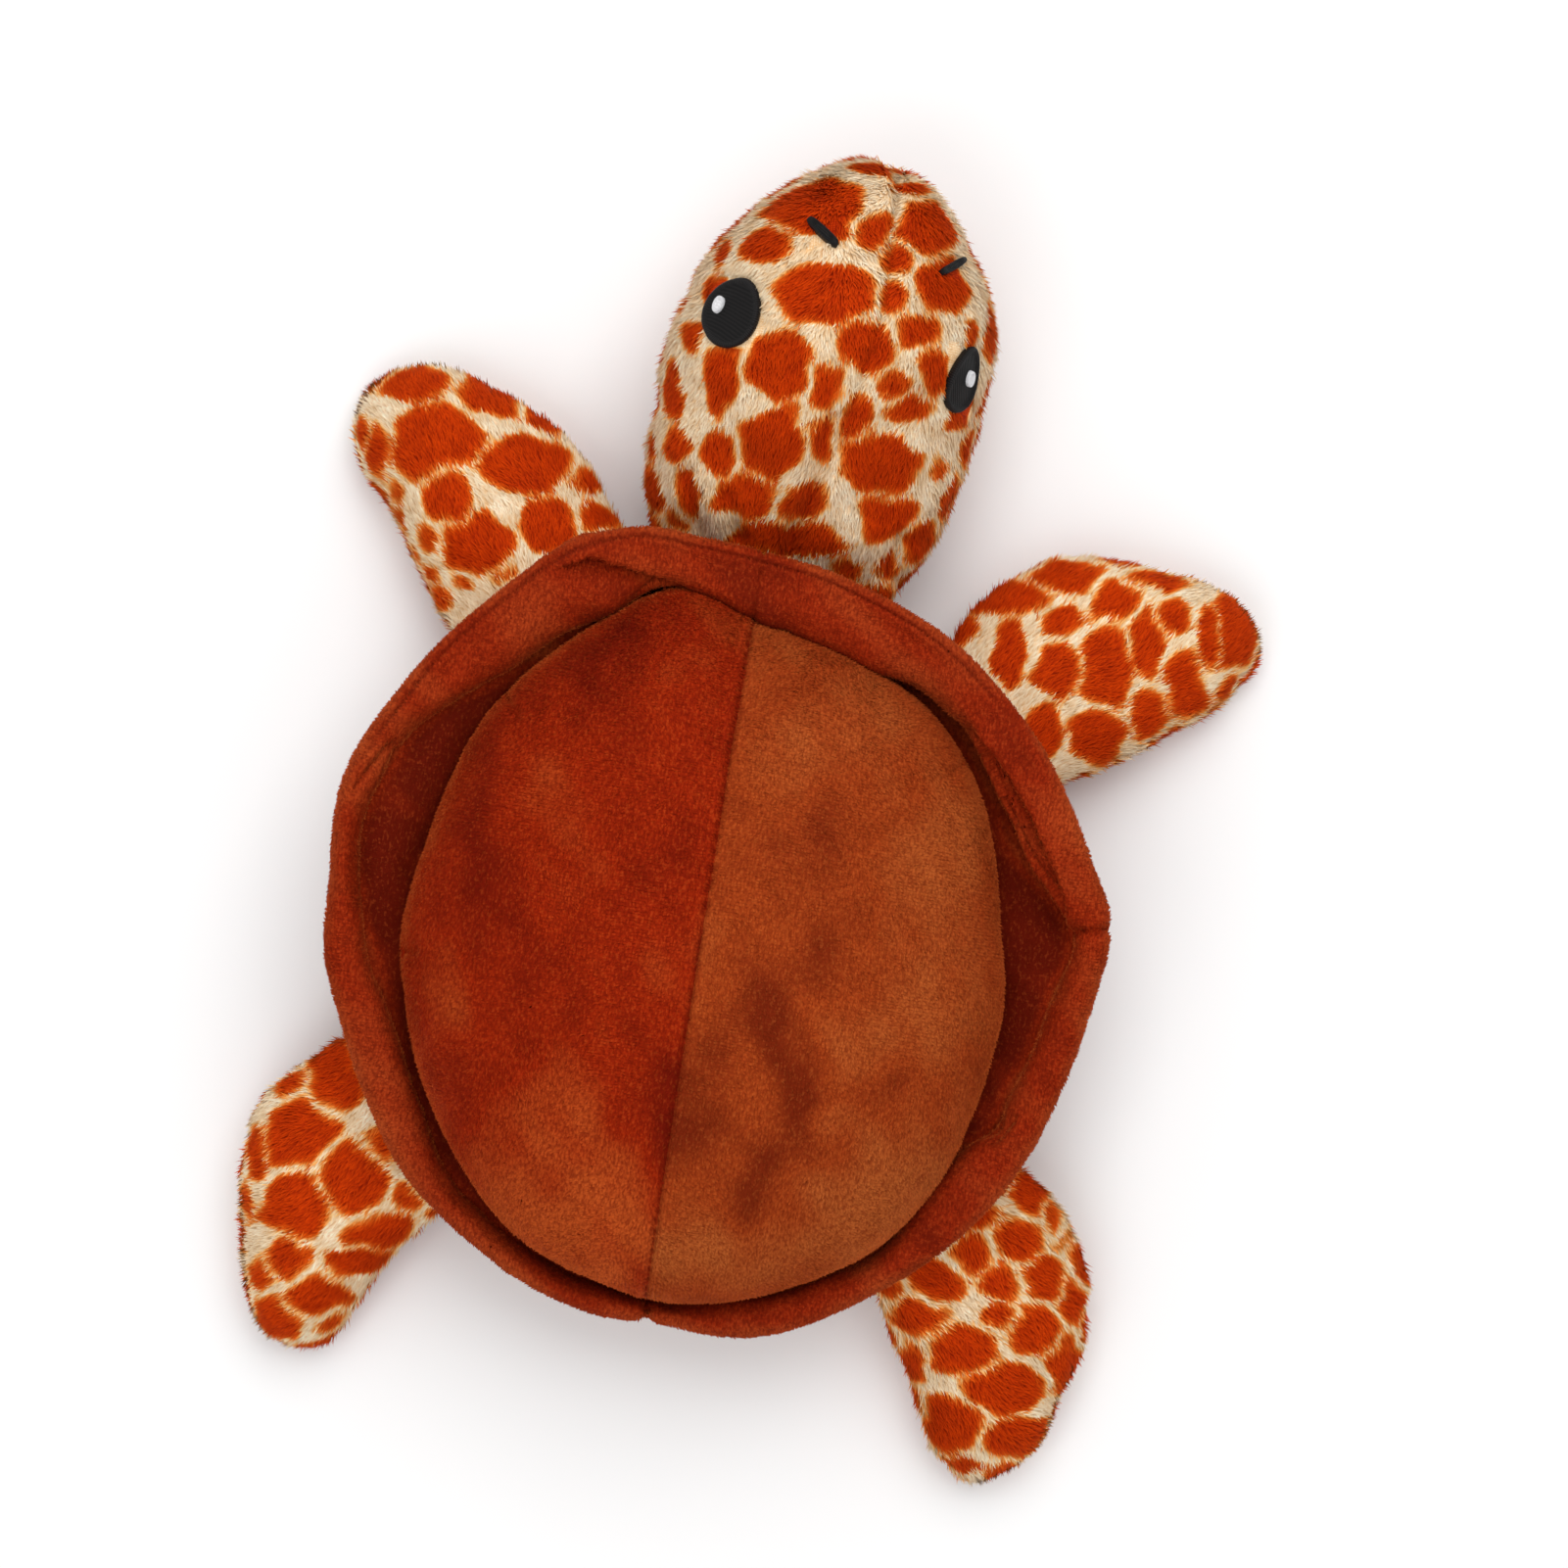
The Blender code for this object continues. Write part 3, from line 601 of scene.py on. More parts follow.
rim_stitched_fade = 12
rim_trough_degrees = (0, 25, 60, 90, 150, 180, 215, 250, 270, 300, 330)
rim_trough_rises = (0.0140, 0.0080, 0.0050, 0.0040, 0.0060, 0.0090, 0.0100, 0.0080, 0.0080,
                    0.0140, 0.0170)
rim_laps = (((600, 570), (626, 575), (662, 588), (709, 603), (750, 624), (772, 636)),
            ((1090, 925), (1062, 858), (1040, 812), (1012, 770)))
rim_folds = (((1136, 948), (1118, 950), (1098, 951)), ((362, 806), (380, 786), (402, 762)),
             ((661, 1352), (662, 1336)), ((1012, 1166), (1032, 1142)))
rim_lap_depth = 0.0046
rim_lap_rise = 0.0018
rim_fold_depth = 0.0026
rim_root_tuck = 0.003
rim_root_half = 0.0015
rim_half_turn = 98
rim_sections = 72
rim_lean_deg = 50
rim_edge_level = 0.060
rim_rounding = 0.0009
rim_edge = outline(rim_edge_spots, rim_edge_level, 1.6)
rim_lip = outline(rim_lip_spots, 0.058, 1.6)


def rim_section(angle):
    """The rim's closed section at an angle, as steps out from the middle and levels. It is plump
    where the rim is narrow, and has a rolled edge and a hollow behind it where it is wide."""
    bulge = around(dome_edge, angle)
    root = bulge - dome_tuck
    rise = rim_rise * (1 - rim_rear_drop
                       * ((1 + math.sin(angle)) / 2) ** rim_rear_drop_power)
    crest = side_seam_level + rise + 0.001
    out = around(rim_edge, angle) * (camera_place.z - crest) / (
        camera_place.z - rim_edge_level) + rim_rounding
    lip = max(around(rim_lip, angle), bulge - 0.005)
    band = out - lip
    loose = min(max((band - 0.009) / 0.008, 0), 1)
    lip_level = crest - 0.0035 - 0.12 * band
    roll = out - min(0.008, 0.6 * band)
    plump = ((out - 0.0020, crest - 0.0120), (out + 0.0008, crest - 0.0055),
             (out - 0.20 * band, crest + 0.0012), (out - 0.55 * band, crest + 0.0026),
             (lip + 0.12 * band, crest - 0.0002), (lip - 0.0010, crest - 0.0050),
             (lip + 0.0020, crest - 0.0100))
    wide = ((out - 0.0020, crest - 0.0090), (out + 0.0004, crest - 0.0020),
            (out - 0.0035, crest + 0.0020), (roll, crest - 0.0003),
            ((roll + lip) / 2, (crest + lip_level) / 2 + 0.0032), (lip - 0.0006, lip_level),
            (lip + 0.0035, lip_level - 0.0065))
    brim = [(tight[0] + loose * (flat[0] - tight[0]), tight[1] + loose * (flat[1] - tight[1]))
            for tight, flat in zip(plump, wide)]
    trough = side_seam_level + float(np.interp(
        math.degrees(angle) % 360, rim_trough_degrees, rim_trough_rises, period=360))
    return ((root - rim_root_tuck, side_seam_level - rim_root_half),
            (root + 0.45 * (out - root), side_seam_level + 0.18 * rise - 0.003), *brim,
            (root + 0.55 * (out - root), trough + 0.0015),
            (root + 0.25 * (out - root), trough - 0.0015),
            (root - rim_root_tuck, side_seam_level + rim_root_half))


def stitched(angles):
    """1 along the front of the rim, where the topstitching shows, and 0 round the rear."""
    away = np.abs(np.degrees(angles) - rim_stitched_middle)
    return np.clip((rim_stitched_reach - away) / rim_stitched_fade, 0, 1)


def inside_rim(places):
    """The angle of each place round the shell, and how far it lies in from the rim's edge."""
    angles = np.arctan2(places[:, 1], places[:, 0])
    return angles, around(rim_edge, angles) - np.hypot(places[:, 0], places[:, 1])


def lap_depth(places, angles, lap):
    """How far the cloth sinks behind the edge of a lap. It rises on the lap."""
    line = [spot(u, v, 0.066) for u, v in lap]
    near = line_distance(places, line)
    lap_reach = np.interp(np.degrees(angles), *zip(*polar(line)))
    return np.where(np.hypot(places[:, 0], places[:, 1]) < lap_reach,
                    rim_lap_depth * bell(near, 0.0065),
                    -rim_lap_rise * bell(near - 0.003, 0.0040))


def rim_nap(places, outward):
    angles = np.arctan2(places[:, 1], places[:, 0]) + 0.6 * ripple(places, 0.04, 33)
    return np.stack([np.cos(angles), np.sin(angles), np.full(len(places), 0.15)], 1)


minky_rim = minky_material("minky_rust_rim", colour(98, 18, 2), colour(158, 42, 8),
                           colour(194, 82, 34), 0.0)

for hand, side in (("left", 1.0), ("right", -1.0)):
    sections = []
    for angle in np.radians(np.linspace(-rim_half_turn, rim_half_turn, rim_sections)
                            + (0 if side > 0 else 180)):
        sections.append([Vector((step * math.cos(angle), step * math.sin(angle), level))
                         for step, level in rim_section(angle)])
    rim = even_cells(place_object(f"rim_{hand}", raise_rings(sections)), minky_cell, rounding=2)
    keep_half(rim, (0, 0, 0), (side, 0, 0))
    places, outward = places_of(rim.data), outward_of(rim.data)[0]
    angles, inside_edge = inside_rim(places)
    pull = 0.5 + 0.5 * np.cos(angles * rim_mean_reach / rim_topstitch * 2 * math.pi)
    line = bell(inside_edge - rim_topstitch_inset, 0.0009) * stitched(angles)
    depth = line * (0.0010 + 0.0008 * pull) * (outward[:, 2] > 0.05)
    for fold in rim_folds:
        near = line_distance(places, [spot(u, v, rim_edge_level) for u, v in fold])
        depth += rim_fold_depth * bell(near, 0.0014) * (outward[:, 2] > -0.3)
    for lap in rim_laps:
        depth += lap_depth(places, angles, lap) * (outward[:, 2] > 0)
    depth += 0.0009 * bell(np.abs(places[:, 0]), 0.0013)
    bumpy = np.clip(inside_edge / 0.008, 0.15, 1)
    depth -= bumpy * (0.0008 * ripple(places, 0.034, 31) + 0.0002 * ripple(places, 0.013, 32))
    press_in(rim.data, places, outward, depth)
    dyed = grow_pile(rim, minky_pile, rim_lean_deg, rim_nap, minky_tangle,
                     34 if side > 0 else 35, softness=minky_softness)
    angles, inside_edge = inside_rim(dyed)
    # Painted shade along the groove of the topstitching.
    line = bell(inside_edge - rim_topstitch_inset, 0.0008) * (dyed[:, 2] > 0.045)
    set_values(rim.data, "seam", 0.6 * line * stitched(angles))
    band = around(rim_edge, angles) - np.maximum(around(rim_lip, angles),
                                                 around(dome_edge, angles))
    # Painted shade in the hollow between the rim's roll and the dome, where trough is 1.
    trough = np.clip((inside_edge - band) / 0.004, 0, 1)
    # Painted highlight along the rim's outer edge and, faintly, along its lip.
    nap_light_and_shade = nap_light_and_shade_at(dyed, 62) + 0.22 * bell(inside_edge, 0.0025)
    nap_light_and_shade += 0.03 * bell(inside_edge - band, 0.0025)
    set_values(rim.data, "nap_light_and_shade", np.clip(nap_light_and_shade - 0.44 * trough, 0, 1))
    rim.data.materials.append(minky_rim)
    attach(rim, "torso")
    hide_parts(f"rim_facing_{hand}", f"rim_backing_{hand}", f"rim_wadding_{hand}")

# Belly: one panel of cream plush with orange-brown patches printed on its pile, sewn to the shell
# at the side seam. The loose fibre inside presses it round, and it lies flat on its middle.
belly_fullness = 2.8
belly_lowest = 0.0016
belly_sides = 72
belly_cell = 0.0016
belly_pile = 0.0042
belly_lean_deg = 62
belly_tangle = 0.3
belly_patches = (0.0055, 0.0105)
strewn_tries = 2600
patch_closeness = 0.86
patch_gap = 0.0006
cream_line = 0.0009
print_seed = 3
print_wobble = 0.0008
print_reach = 3.0


def strewn_patches(places, wanted, seeds, sizes, seed):
    """Fills the rest of a print: patches strewn over the wanted places, clear of the others."""
    rng = np.random.default_rng(seed)
    order = rng.permutation(np.flatnonzero(wanted))[:strewn_tries]
    kept = list(seeds)
    middles = np.array([patch[0] for patch in kept]).reshape(-1, 3)
    reaches = np.array([patch[3] for patch in kept])
    for place in places[order]:
        wide, high = rng.uniform(*sizes, 2)
        reach = (wide + high) / 2
        clear = patch_closeness * (reaches + reach) + patch_gap
        if len(kept) and np.any(np.linalg.norm(middles - place, axis=1) < clear):
            continue
        kept.append((place, wide, high, reach))
        middles = np.vstack([middles, place])
        reaches = np.append(reaches, reach)
    return kept


def print_values(places, seeds, growth=0.0003):
    """How far inside a printed patch each place lies, in millimetres, or outside if negative.
    Patches are cut with five to seven sides, grown a little, and kept apart by a cream line."""
    wobble = print_wobble * np.stack([ripple(places, 0.012, print_seed + step)
                                      for step in range(3)], 1)
    nearest = np.full(len(places), 1.0)
    second = np.full(len(places), 1.0)
    rng = np.random.default_rng(print_seed)
    for middle, wide, high, reach in seeds:
        corners = rng.integers(5, 8)
        turn = 2 * math.pi * (np.arange(corners) + rng.uniform(-0.22, 0.22, corners)) / corners
        turn += rng.uniform(0, 2 * math.pi)
        facing = np.stack([np.cos(turn), np.sin(turn), rng.uniform(-0.3, 0.3, corners)], 1)
        facing = np.vstack([facing, (0, 0, 1), (0, 0, -1)])
        facing /= np.linalg.norm(facing, axis=1)[:, None]
        away = places + wobble - middle
        near = np.flatnonzero(np.abs(away).max(1) < 2.2 * reach + 0.004)
        across, along = seen_steps(away[near])
        spread = np.stack([across / wide, along / high, away[near, 2] / reach], 1)
        far = np.sum(np.maximum(spread @ facing.T, 0) ** 16, 1) ** (1 / 16)
        far = (far - 1) * reach
        second[near] = np.minimum(second[near], np.maximum(nearest[near], far))
        nearest[near] = np.minimum(nearest[near], far)
    inside = np.minimum(growth - nearest, (second - nearest) / 2 - cream_line)
    return np.clip(inside * 1000, -print_reach, print_reach)


def reckon(tree, operation, *values):
    """A sum on one or two values of a material."""
    return add_node(tree, "ShaderNodeMath", dict(enumerate(values)),
                    operation=operation).outputs[0]


def ramp(tree, value, stops):
    """A row of colours, each at its place in a range from 0 to 1."""
    node = add_node(tree, "ShaderNodeValToRGB", {"Fac": value})
    places = node.color_ramp.elements
    while len(places) < len(stops):
        places.new(0.5)
    for place, (position, shade) in zip(places, stops):
        place.position, place.color = position, shade
    return node.outputs["Color"]


def printed_fur_material():
    """Cream pile, dyed through in orange-brown patches with a lighter, fuzzy edge. The roots of the
    tufts are painted darker as the shade between them, their tips are lighter, and folds and seams
    are painted darker as shade. Locks and single tufts are darker or lighter at random, and all
    is redder where it is darker."""
    material, tree, shader = new_material("printed_fur", {
        "Roughness": 0.8, "Specular IOR Level": 0.05, "Sheen Weight": 0.25,
        "Sheen Roughness": 0.4, "Sheen Tint": colour(255, 150, 70)})
    dyed = map_range(tree, value_of(tree, "print"), -print_reach, print_reach)
    tips = ramp(tree, dyed, (
        (0.40, colour(255, 232, 196)), (0.47, colour(255, 202, 128)), (0.53, colour(250, 146, 56)),
        (0.64, colour(230, 88, 14)), (0.85, colour(208, 60, 2))))
    roots = ramp(tree, dyed, (
        (0.42, colour(238, 186, 126)), (0.49, colour(220, 124, 46)), (0.56, colour(178, 50, 2)),
        (0.80, colour(146, 28, 0))))
    # Painted shade at the roots: they take the darker row of colours and the tips the lighter one.
    deep = map_range(tree, value_of(tree, "tip"), 0.0, 0.8)
    base = blend_colours(tree, deep, roots, tips)
    uneven = map_range(tree, value_of(tree, "tuft"), 0.0, 1.0, 0.86, 1.14)
    locks = map_range(tree, noise(tree, 190.0, 3.0), 0.33, 0.67, 0.84, 1.16)
    # Painted shade in folds, creases and along seams, from the fold value.
    fold_shade = map_range(tree, value_of(tree, "fold"), 0.0, 1.0, 1.0, 0.6)
    uneven = reckon(tree, "MULTIPLY", reckon(tree, "MULTIPLY", uneven, locks), fold_shade)
    warm = [reckon(tree, "POWER", uneven, power) for power in (0.6, 1.0, 1.5)]
    shading = add_node(tree, "ShaderNodeCombineColor", dict(enumerate(warm)))
    base = blend_colours(tree, 1.0, base, shading.outputs[0], "MULTIPLY")
    tree.links.new(base, shader.inputs["Base Color"])
    return material


printed_fur = printed_fur_material()

angles = np.linspace(0, 2 * math.pi, belly_sides, endpoint=False)
reach = around(dome_edge, angles) - dome_tuck - 0.0008
belly_loops = closing_loops(angles, reach, np.linspace(1.0, 0.04, 16), belly_fullness,
                            side_seam_level - 0.001, belly_lowest)
belly = even_cells(place_object("belly", raise_rings(belly_loops)), belly_cell)
skin, outward = places_of(belly.data), places_of(belly.data, "normal")
seeds = strewn_patches(skin, outward[:, 2] < 0.4, [], belly_patches, 41)


def belly_nap(places, outward):
    return np.stack([0.3 * ripple(places, 0.05, 42), np.ones(len(places)),
                     np.zeros(len(places))], 1)


dyed = grow_pile(belly, belly_pile, belly_lean_deg, belly_nap, belly_tangle, 43)
set_values(belly.data, "print", print_values(dyed, seeds))
belly.data.materials.append(printed_fur)
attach(belly, "torso")
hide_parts("belly_panel", "body_stuffing")

# Head: two halves of the printed plush, sewn together over the top of the head and under the chin,
# and stuffed until they round out. The neck is squeezed flat in the side seam, so folds run down
# to it. The pile is brushed from the nose back to the neck.
limb_pivots = {
    "head": (Vector((-0.00532, -0.099, 0.03625)), 265.2),
    "front_left_flipper": (Vector((0.05004, -0.08203, 0.03625)), 309.0),
    "front_right_flipper": (Vector((-0.06454, -0.0691, 0.03625)), 225.5),
    "rear_left_flipper": (Vector((0.07595, 0.06066, 0.03625)), 40.0),
    "rear_right_flipper": (Vector((-0.07865, 0.066, 0.03625)), 140.0)}
limb_half_width = 0.030
# Millimetres along each limb, and how far out its left side, its right side and its tip move there.
limb_outlines = {
    "head": ((0, 1.5, -2.5, 0), (12, 4.2, -3.4, 0), (22, 5.4, -3.2, 0), (34, 5.4, -0.6, 0),
             (47, 4.2, -1.8, 0), (60, 1.6, -1.8, 0), (70, 3.0, -3.4, 0), (80, 1.6, -4.0, 0),
             (92, -0.9, -1.2, 0), (106, 0.6, 0.3, 0), (118, 1.4, -0.8, 0.4), (124, 1.0, -2.6, 1.0),
             (130, -1.6, -1.4, 1.5), (137, -1.8, -3.6, 2.0), (146, 0.0, -7.6, 2.6)),
    "front_left_flipper": ((0, 1, 1.0, 0), (15, 2.4, 1.2, 0), (28, 4.4, 1.8, 0), (40, 3.8, 0.0, 0),
                           (50, 3.6, 1.2, 0), (60, 2.4, 0.6, 0), (72, 1.8, 0.8, 0),
                           (86, 3.6, 0.0, 0), (112, 1.0, -0.8, 0)),
    "front_right_flipper": ((0, -1.0, -0.6, 0), (20, -1.4, -1.2, 0), (28, 1.4, 0.6, 0),
                            (40, 1.6, 2.6, 0), (51, 2.6, 4.3, 0), (59, 3.6, 5.0, 0),
                            (66, 4.2, 5.4, 0), (73, 4.4, 5.6, 0), (80, 1.0, 5.2, 0),
                            (88, -4.6, 3.8, 0), (96, -5.2, 4.8, 0.1), (108, -4.8, 4.2, 0.4)),
    "rear_left_flipper": ((0, 1.5, 1.0, 0), (15, 3.6, 5.6, 0), (24, 0.8, 4.6, 0), (33, 1.8, 2.2, 0),
                          (42, 2.2, 4.0, 0), (52, 1.6, 4.4, 0), (60, 1.8, 2.8, 0),
                          (68, 2.4, 0.0, 0), (78, -0.4, -2.2, 0), (98, -0.6, -4.2, 0)),
    "rear_right_flipper": ((0, 0.8, 0, 0), (13, 3.2, 0.8, 0), (22, 3.8, 2.4, 0), (31, 3.7, 5.2, 0),
                           (42, 4.6, 5.6, 0), (50, 6.0, 6.4, 0), (57, 8.8, 6.4, 0.2),
                           (63, 3.2, 7.2, 0.4), (70, 6.4, 5.6, 0.6), (82, 5.4, 6.6, 1.0),
                           (96, 4.0, 4.0, 1.4))}
stuffing_cell = 0.003
stuffing_pressure = 450.0
stuffing_cap = 0.0022
skin_inset = 0.0010
flat_root = 0.008
swelling_length = 0.015
fur_cell = 0.00077
fur_pile = 0.0038
fur_lean_deg = 70
fur_tangle = 0.26
fur_uneven = (0.8, 1.2)
fur_strays = 0.05
fur_softness = 0.75
fur_seam_line = 0.0013
head_roll_deg = -14.0
head_seam_rise = 0.010
head_patches = (0.0050, 0.0095)
crease_depth = 0.0026


def limb_ways(limb):
    """The way that a limb points, and the way to the left of it."""
    turn = math.radians(limb_pivots[limb][1])
    return (np.array((math.cos(turn), math.sin(turn), 0.0)),
            np.array((-math.sin(turn), math.cos(turn), 0.0)))


def along_limb(limb, places):
    """How far places lie from a limb's root, the way that the limb points."""
    return (places - np.array(limb_pivots[limb][0])) @ limb_ways(limb)[0]


def fit_outline(limb, places):
    """Moves the sides of a limb out and its tip on, to the outline that is seen."""
    way, sideways = limb_ways(limb)
    along = along_limb(limb, places) * 1000
    aside = (places - np.array(limb_pivots[limb][0])) @ sideways
    aside = np.clip(aside / limb_half_width, -1, 1)
    steps, left, right, longer = np.array(limb_outlines[limb], float).T
    out_left = np.interp(along, steps, left) * (1 + aside) / 2
    out_right = np.interp(along, steps, right) * (1 - aside) / 2
    moved = (out_left - out_right)[:, None] * sideways
    moved += np.interp(along, steps, longer)[:, None] * way
    return places + moved / 1000


def keep_largest(form):
    """Drops the loose inner skins that remeshing leaves, and keeps the outer one."""
    bm = bmesh.new()
    bm.from_mesh(form.data)
    loose, islands = set(bm.verts), []
    while loose:
        island, reached = set(), [next(iter(loose))]
        while reached:
            vert = reached.pop()
            if vert in loose:
                loose.discard(vert)
                island.add(vert)
                reached.extend(edge.other_vert(vert) for edge in vert.link_edges)
        islands.append(island)
    skin = max(islands, key=len)
    bmesh.ops.delete(bm, geom=[vert for vert in bm.verts if vert not in skin], context="VERTS")
    bm.to_mesh(form.data)
    bm.free()


def stuffed_form(limb, nodes, is_seam):
    """A limb's solids as one skin, filled out by a cloth simulation with pressure inside and
    fitted to the outline that is seen. is_seam says which places are sewn and so hold still."""
    bm = bmesh.new()
    for node in nodes:
        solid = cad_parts[node]
        first = len(bm.verts)
        bm.from_mesh(solid.data)
        bm.verts.ensure_lookup_table()
        bmesh.ops.transform(bm, matrix=solid.matrix_world, verts=bm.verts[first:])
    form = even_cells(place_object(limb, bm), stuffing_cell, 2)
    keep_largest(form)
    places, outward = places_of(form.data), places_of(form.data, "normal")
    past_root = np.clip((along_limb(limb, places) - flat_root) / swelling_length, 0, 1)
    places -= outward * skin_inset * past_root[:, None]
    move_to(form.data, places)
    fill_out(form, is_seam(places, outward) | (past_root < 0.5), stuffing_pressure, stuffing_cap)
    even_cells(form, fur_cell, 4, rounding=1)
    move_to(form.data, fit_outline(limb, places_of(form.data)))
    return form


def grow_fur(piece, nap, seed, bare=None):
    """The long pile of the printed plush on a limb."""
    return grow_pile(piece, fur_pile, fur_lean_deg, nap, fur_tangle, seed, bare, fur_uneven,
                     fur_strays, fur_softness)


def surface_of(mesh):
    """A skin in the form that lines of sight are tried on."""
    bm = bmesh.new()
    bm.from_mesh(mesh)
    tree = BVHTree.FromBMesh(bm)
    bm.free()
    return tree


def seen_on(surface, u, v):
    """Where a point of the photograph lies on a surface, and the surface's normal there."""
    sight = (spot(u, v) - camera_place).normalized()
    hit, normal = surface.ray_cast(camera_place, sight)[:2]
    return hit, -normal if hit is not None and normal.dot(sight) > 0 else normal


def seeded_patches(spots, surface):
    """Printed patches of the photograph, each as a middle and half sizes on a surface."""
    seeds = []
    for u, v, wide, high in spots:
        hit = seen_on(surface, u, v)[0]
        if hit is not None:
            pixel = photo_pixel * (camera_place - hit).length / (camera_place.z - view_level)
            wide, high = wide * pixel, high * pixel
            seeds.append((np.array(hit), wide, high, (wide + high) / 2))
    return seeds


head_place = limb_pivots["head"][0]
head_way = limb_ways("head")[0]
head_roll = math.radians(head_roll_deg)
head_seam_normal = (np.cross((0, 0, 1.0), head_way) * math.cos(head_roll)
                    - np.array((0, 0, 1.0)) * math.sin(head_roll))
head_middle = np.array(head_place) + np.array((0, 0, head_seam_rise))


def off_seam(places):
    """How far places of the head lie from the plane of its middle seam."""
    return (places - head_middle) @ head_seam_normal


head = stuffed_form("head", ("head_cover_left", "head_cover_right", "head_stuffing"),
                    lambda places, outward: np.abs(off_seam(places)) < 0.002)

# Patches of the print as the photograph shows them: their middles and half sizes.
head_prints = (
    (840, 209, 50, 30), (834, 174, 27, 8), (890, 173, 20, 8), (930, 193, 24, 7),
    (784, 175, 14, 8), (770, 205, 12, 10), (784, 248, 28, 18), (740, 259, 8, 20),
    (719, 269, 11, 18), (892, 232, 21, 23), (947, 233, 31, 29), (914, 263, 15, 17),
    (961, 291, 27, 28), (843, 298, 50, 31), (912, 300, 17, 17), (937, 336, 24, 17),
    (990, 341, 8, 12), (1010, 335, 12, 29), (887, 353, 29, 23), (795, 371, 32, 32),
    (737, 385, 19, 32), (690, 397, 12, 29), (708, 343, 13, 15), (954, 376, 16, 20),
    (910, 391, 15, 13), (846, 397, 19, 23), (927, 417, 26, 15), (872, 423, 18, 23),
    (837, 444, 15, 23), (787, 450, 32, 32), (734, 459, 19, 22), (692, 453, 15, 18),
    (668, 456, 9, 14), (902, 470, 44, 26), (954, 476, 16, 12), (985, 456, 12, 20),
    (979, 423, 20, 15), (667, 500, 13, 26), (704, 500, 15, 23), (761, 505, 32, 20),
    (819, 508, 26, 23), (906, 526, 29, 22), (968, 505, 16, 29), (805, 549, 60, 18),
    (940, 552, 23, 23), (905, 573, 18, 13), (863, 582, 20, 12), (690, 532, 16, 12),
    (1007, 303, 9, 13), (729, 295, 15, 13), (702, 312, 9, 12))
neck_creases = (((852, 425), (836, 470), (828, 505), (812, 535), (802, 562)),
                ((700, 478), (708, 510), (712, 545)), ((742, 500), (752, 540)),
                ((925, 545), (912, 580)))


def near_creases(places, width):
    """1 in the folds that run down to the neck, and 0 away from them."""
    near = [line_distance(places, [spot(u, v, 0.075) for u, v in line]) for line in neck_creases]
    return bell(np.min(near, 0), width)


places, outward = places_of(head.data), places_of(head.data, "normal")
depth = 1.5 * fur_seam_line * bell(np.abs(off_seam(places)), 0.0024)
depth += crease_depth * near_creases(places, 0.0030) * (outward[:, 2] > 0)
depth -= 0.0008 * ripple(places, 0.03, 51)
press_in(head.data, places, outward, depth)
head_skin = surface_of(head.data)
skin, outward = places_of(head.data), places_of(head.data, "normal")

# The patches sewn to the face: middle, half sizes, turn, how egg-shaped, inner edge of the
# border of thread, and how round the ends are.
face_patches = {
    "eye_patch_left": ((751, 320), (26, 36), 26.0, 0.12, 0.82, 1.0),
    "eye_patch_right": ((979, 386), (12.5, 34), 17.0, 0.30, 0.82, 1.0),
    "nostril_left": ((840.5, 240), (4.5, 19), -47.0, 0.0, 0.45, 0.6),
    "nostril_right": ((968.5, 274.5), (4.0, 13), 62.0, 0.0, 0.45, 0.6)}
patch_clearance = 1.06
patch_nearness = 0.022


def under_patches(places):
    """The share of its length that the pile keeps: hardly any where a patch is sewn on."""
    share = np.ones(len(places))
    for (u, v), (half_wide, half_high), turn_deg, _, _, _ in face_patches.values():
        middle = np.array(seen_on(head_skin, u, v)[0])
        turn = math.radians(turn_deg)
        for step in fur_pile * np.array((1.0, 0.75, 0.5, 0.25, 0.0)):
            away = places - head_way * step - middle
            right, up = seen_steps(away)
            across = (right * math.cos(turn) + up * math.sin(turn)) / (half_wide * photo_pixel)
            tall = (up * math.cos(turn) - right * math.sin(turn)) / (half_high * photo_pixel)
            covered = ((np.hypot(across, tall) < patch_clearance)
                       & (np.linalg.norm(away, axis=1) < patch_nearness))
            share[covered] = max(0.8 * step / fur_pile - 0.1, 0.03)
    return share


seeds = seeded_patches(head_prints, head_skin)
seeds = strewn_patches(skin, (outward[:, 2] < 0.12) | (along_limb("head", skin) < 0.02), seeds,
                       head_patches, 53)
head_nap = nap_towards((-head_way[0], -head_way[1], -0.25), 0.35, 52, 0.03)
for hand, side, hidden in (("left", 1, ("head_stuffing",)), ("right", -1, ())):
    half = half_of(head, f"head_{hand}", head_middle, side * head_seam_normal)
    dyed = grow_fur(half, head_nap, 54 + side, under_patches)
    set_values(half.data, "print", print_values(dyed, seeds))
    # Painted shade where the fur parts along the middle seam and in the folds down to the neck.
    parting_shade = 0.45 * bell(off_seam(dyed), 0.0011)
    crease_shade = 0.4 * near_creases(dyed, 0.0024) * (dyed[:, 2] > 0.045)
    set_values(half.data, "fold", np.maximum(parting_shade, crease_shade))
    half.data.materials.append(printed_fur)
    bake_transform(half)
    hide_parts(f"head_cover_{hand}", *hidden)
bpy.data.objects.remove(head)

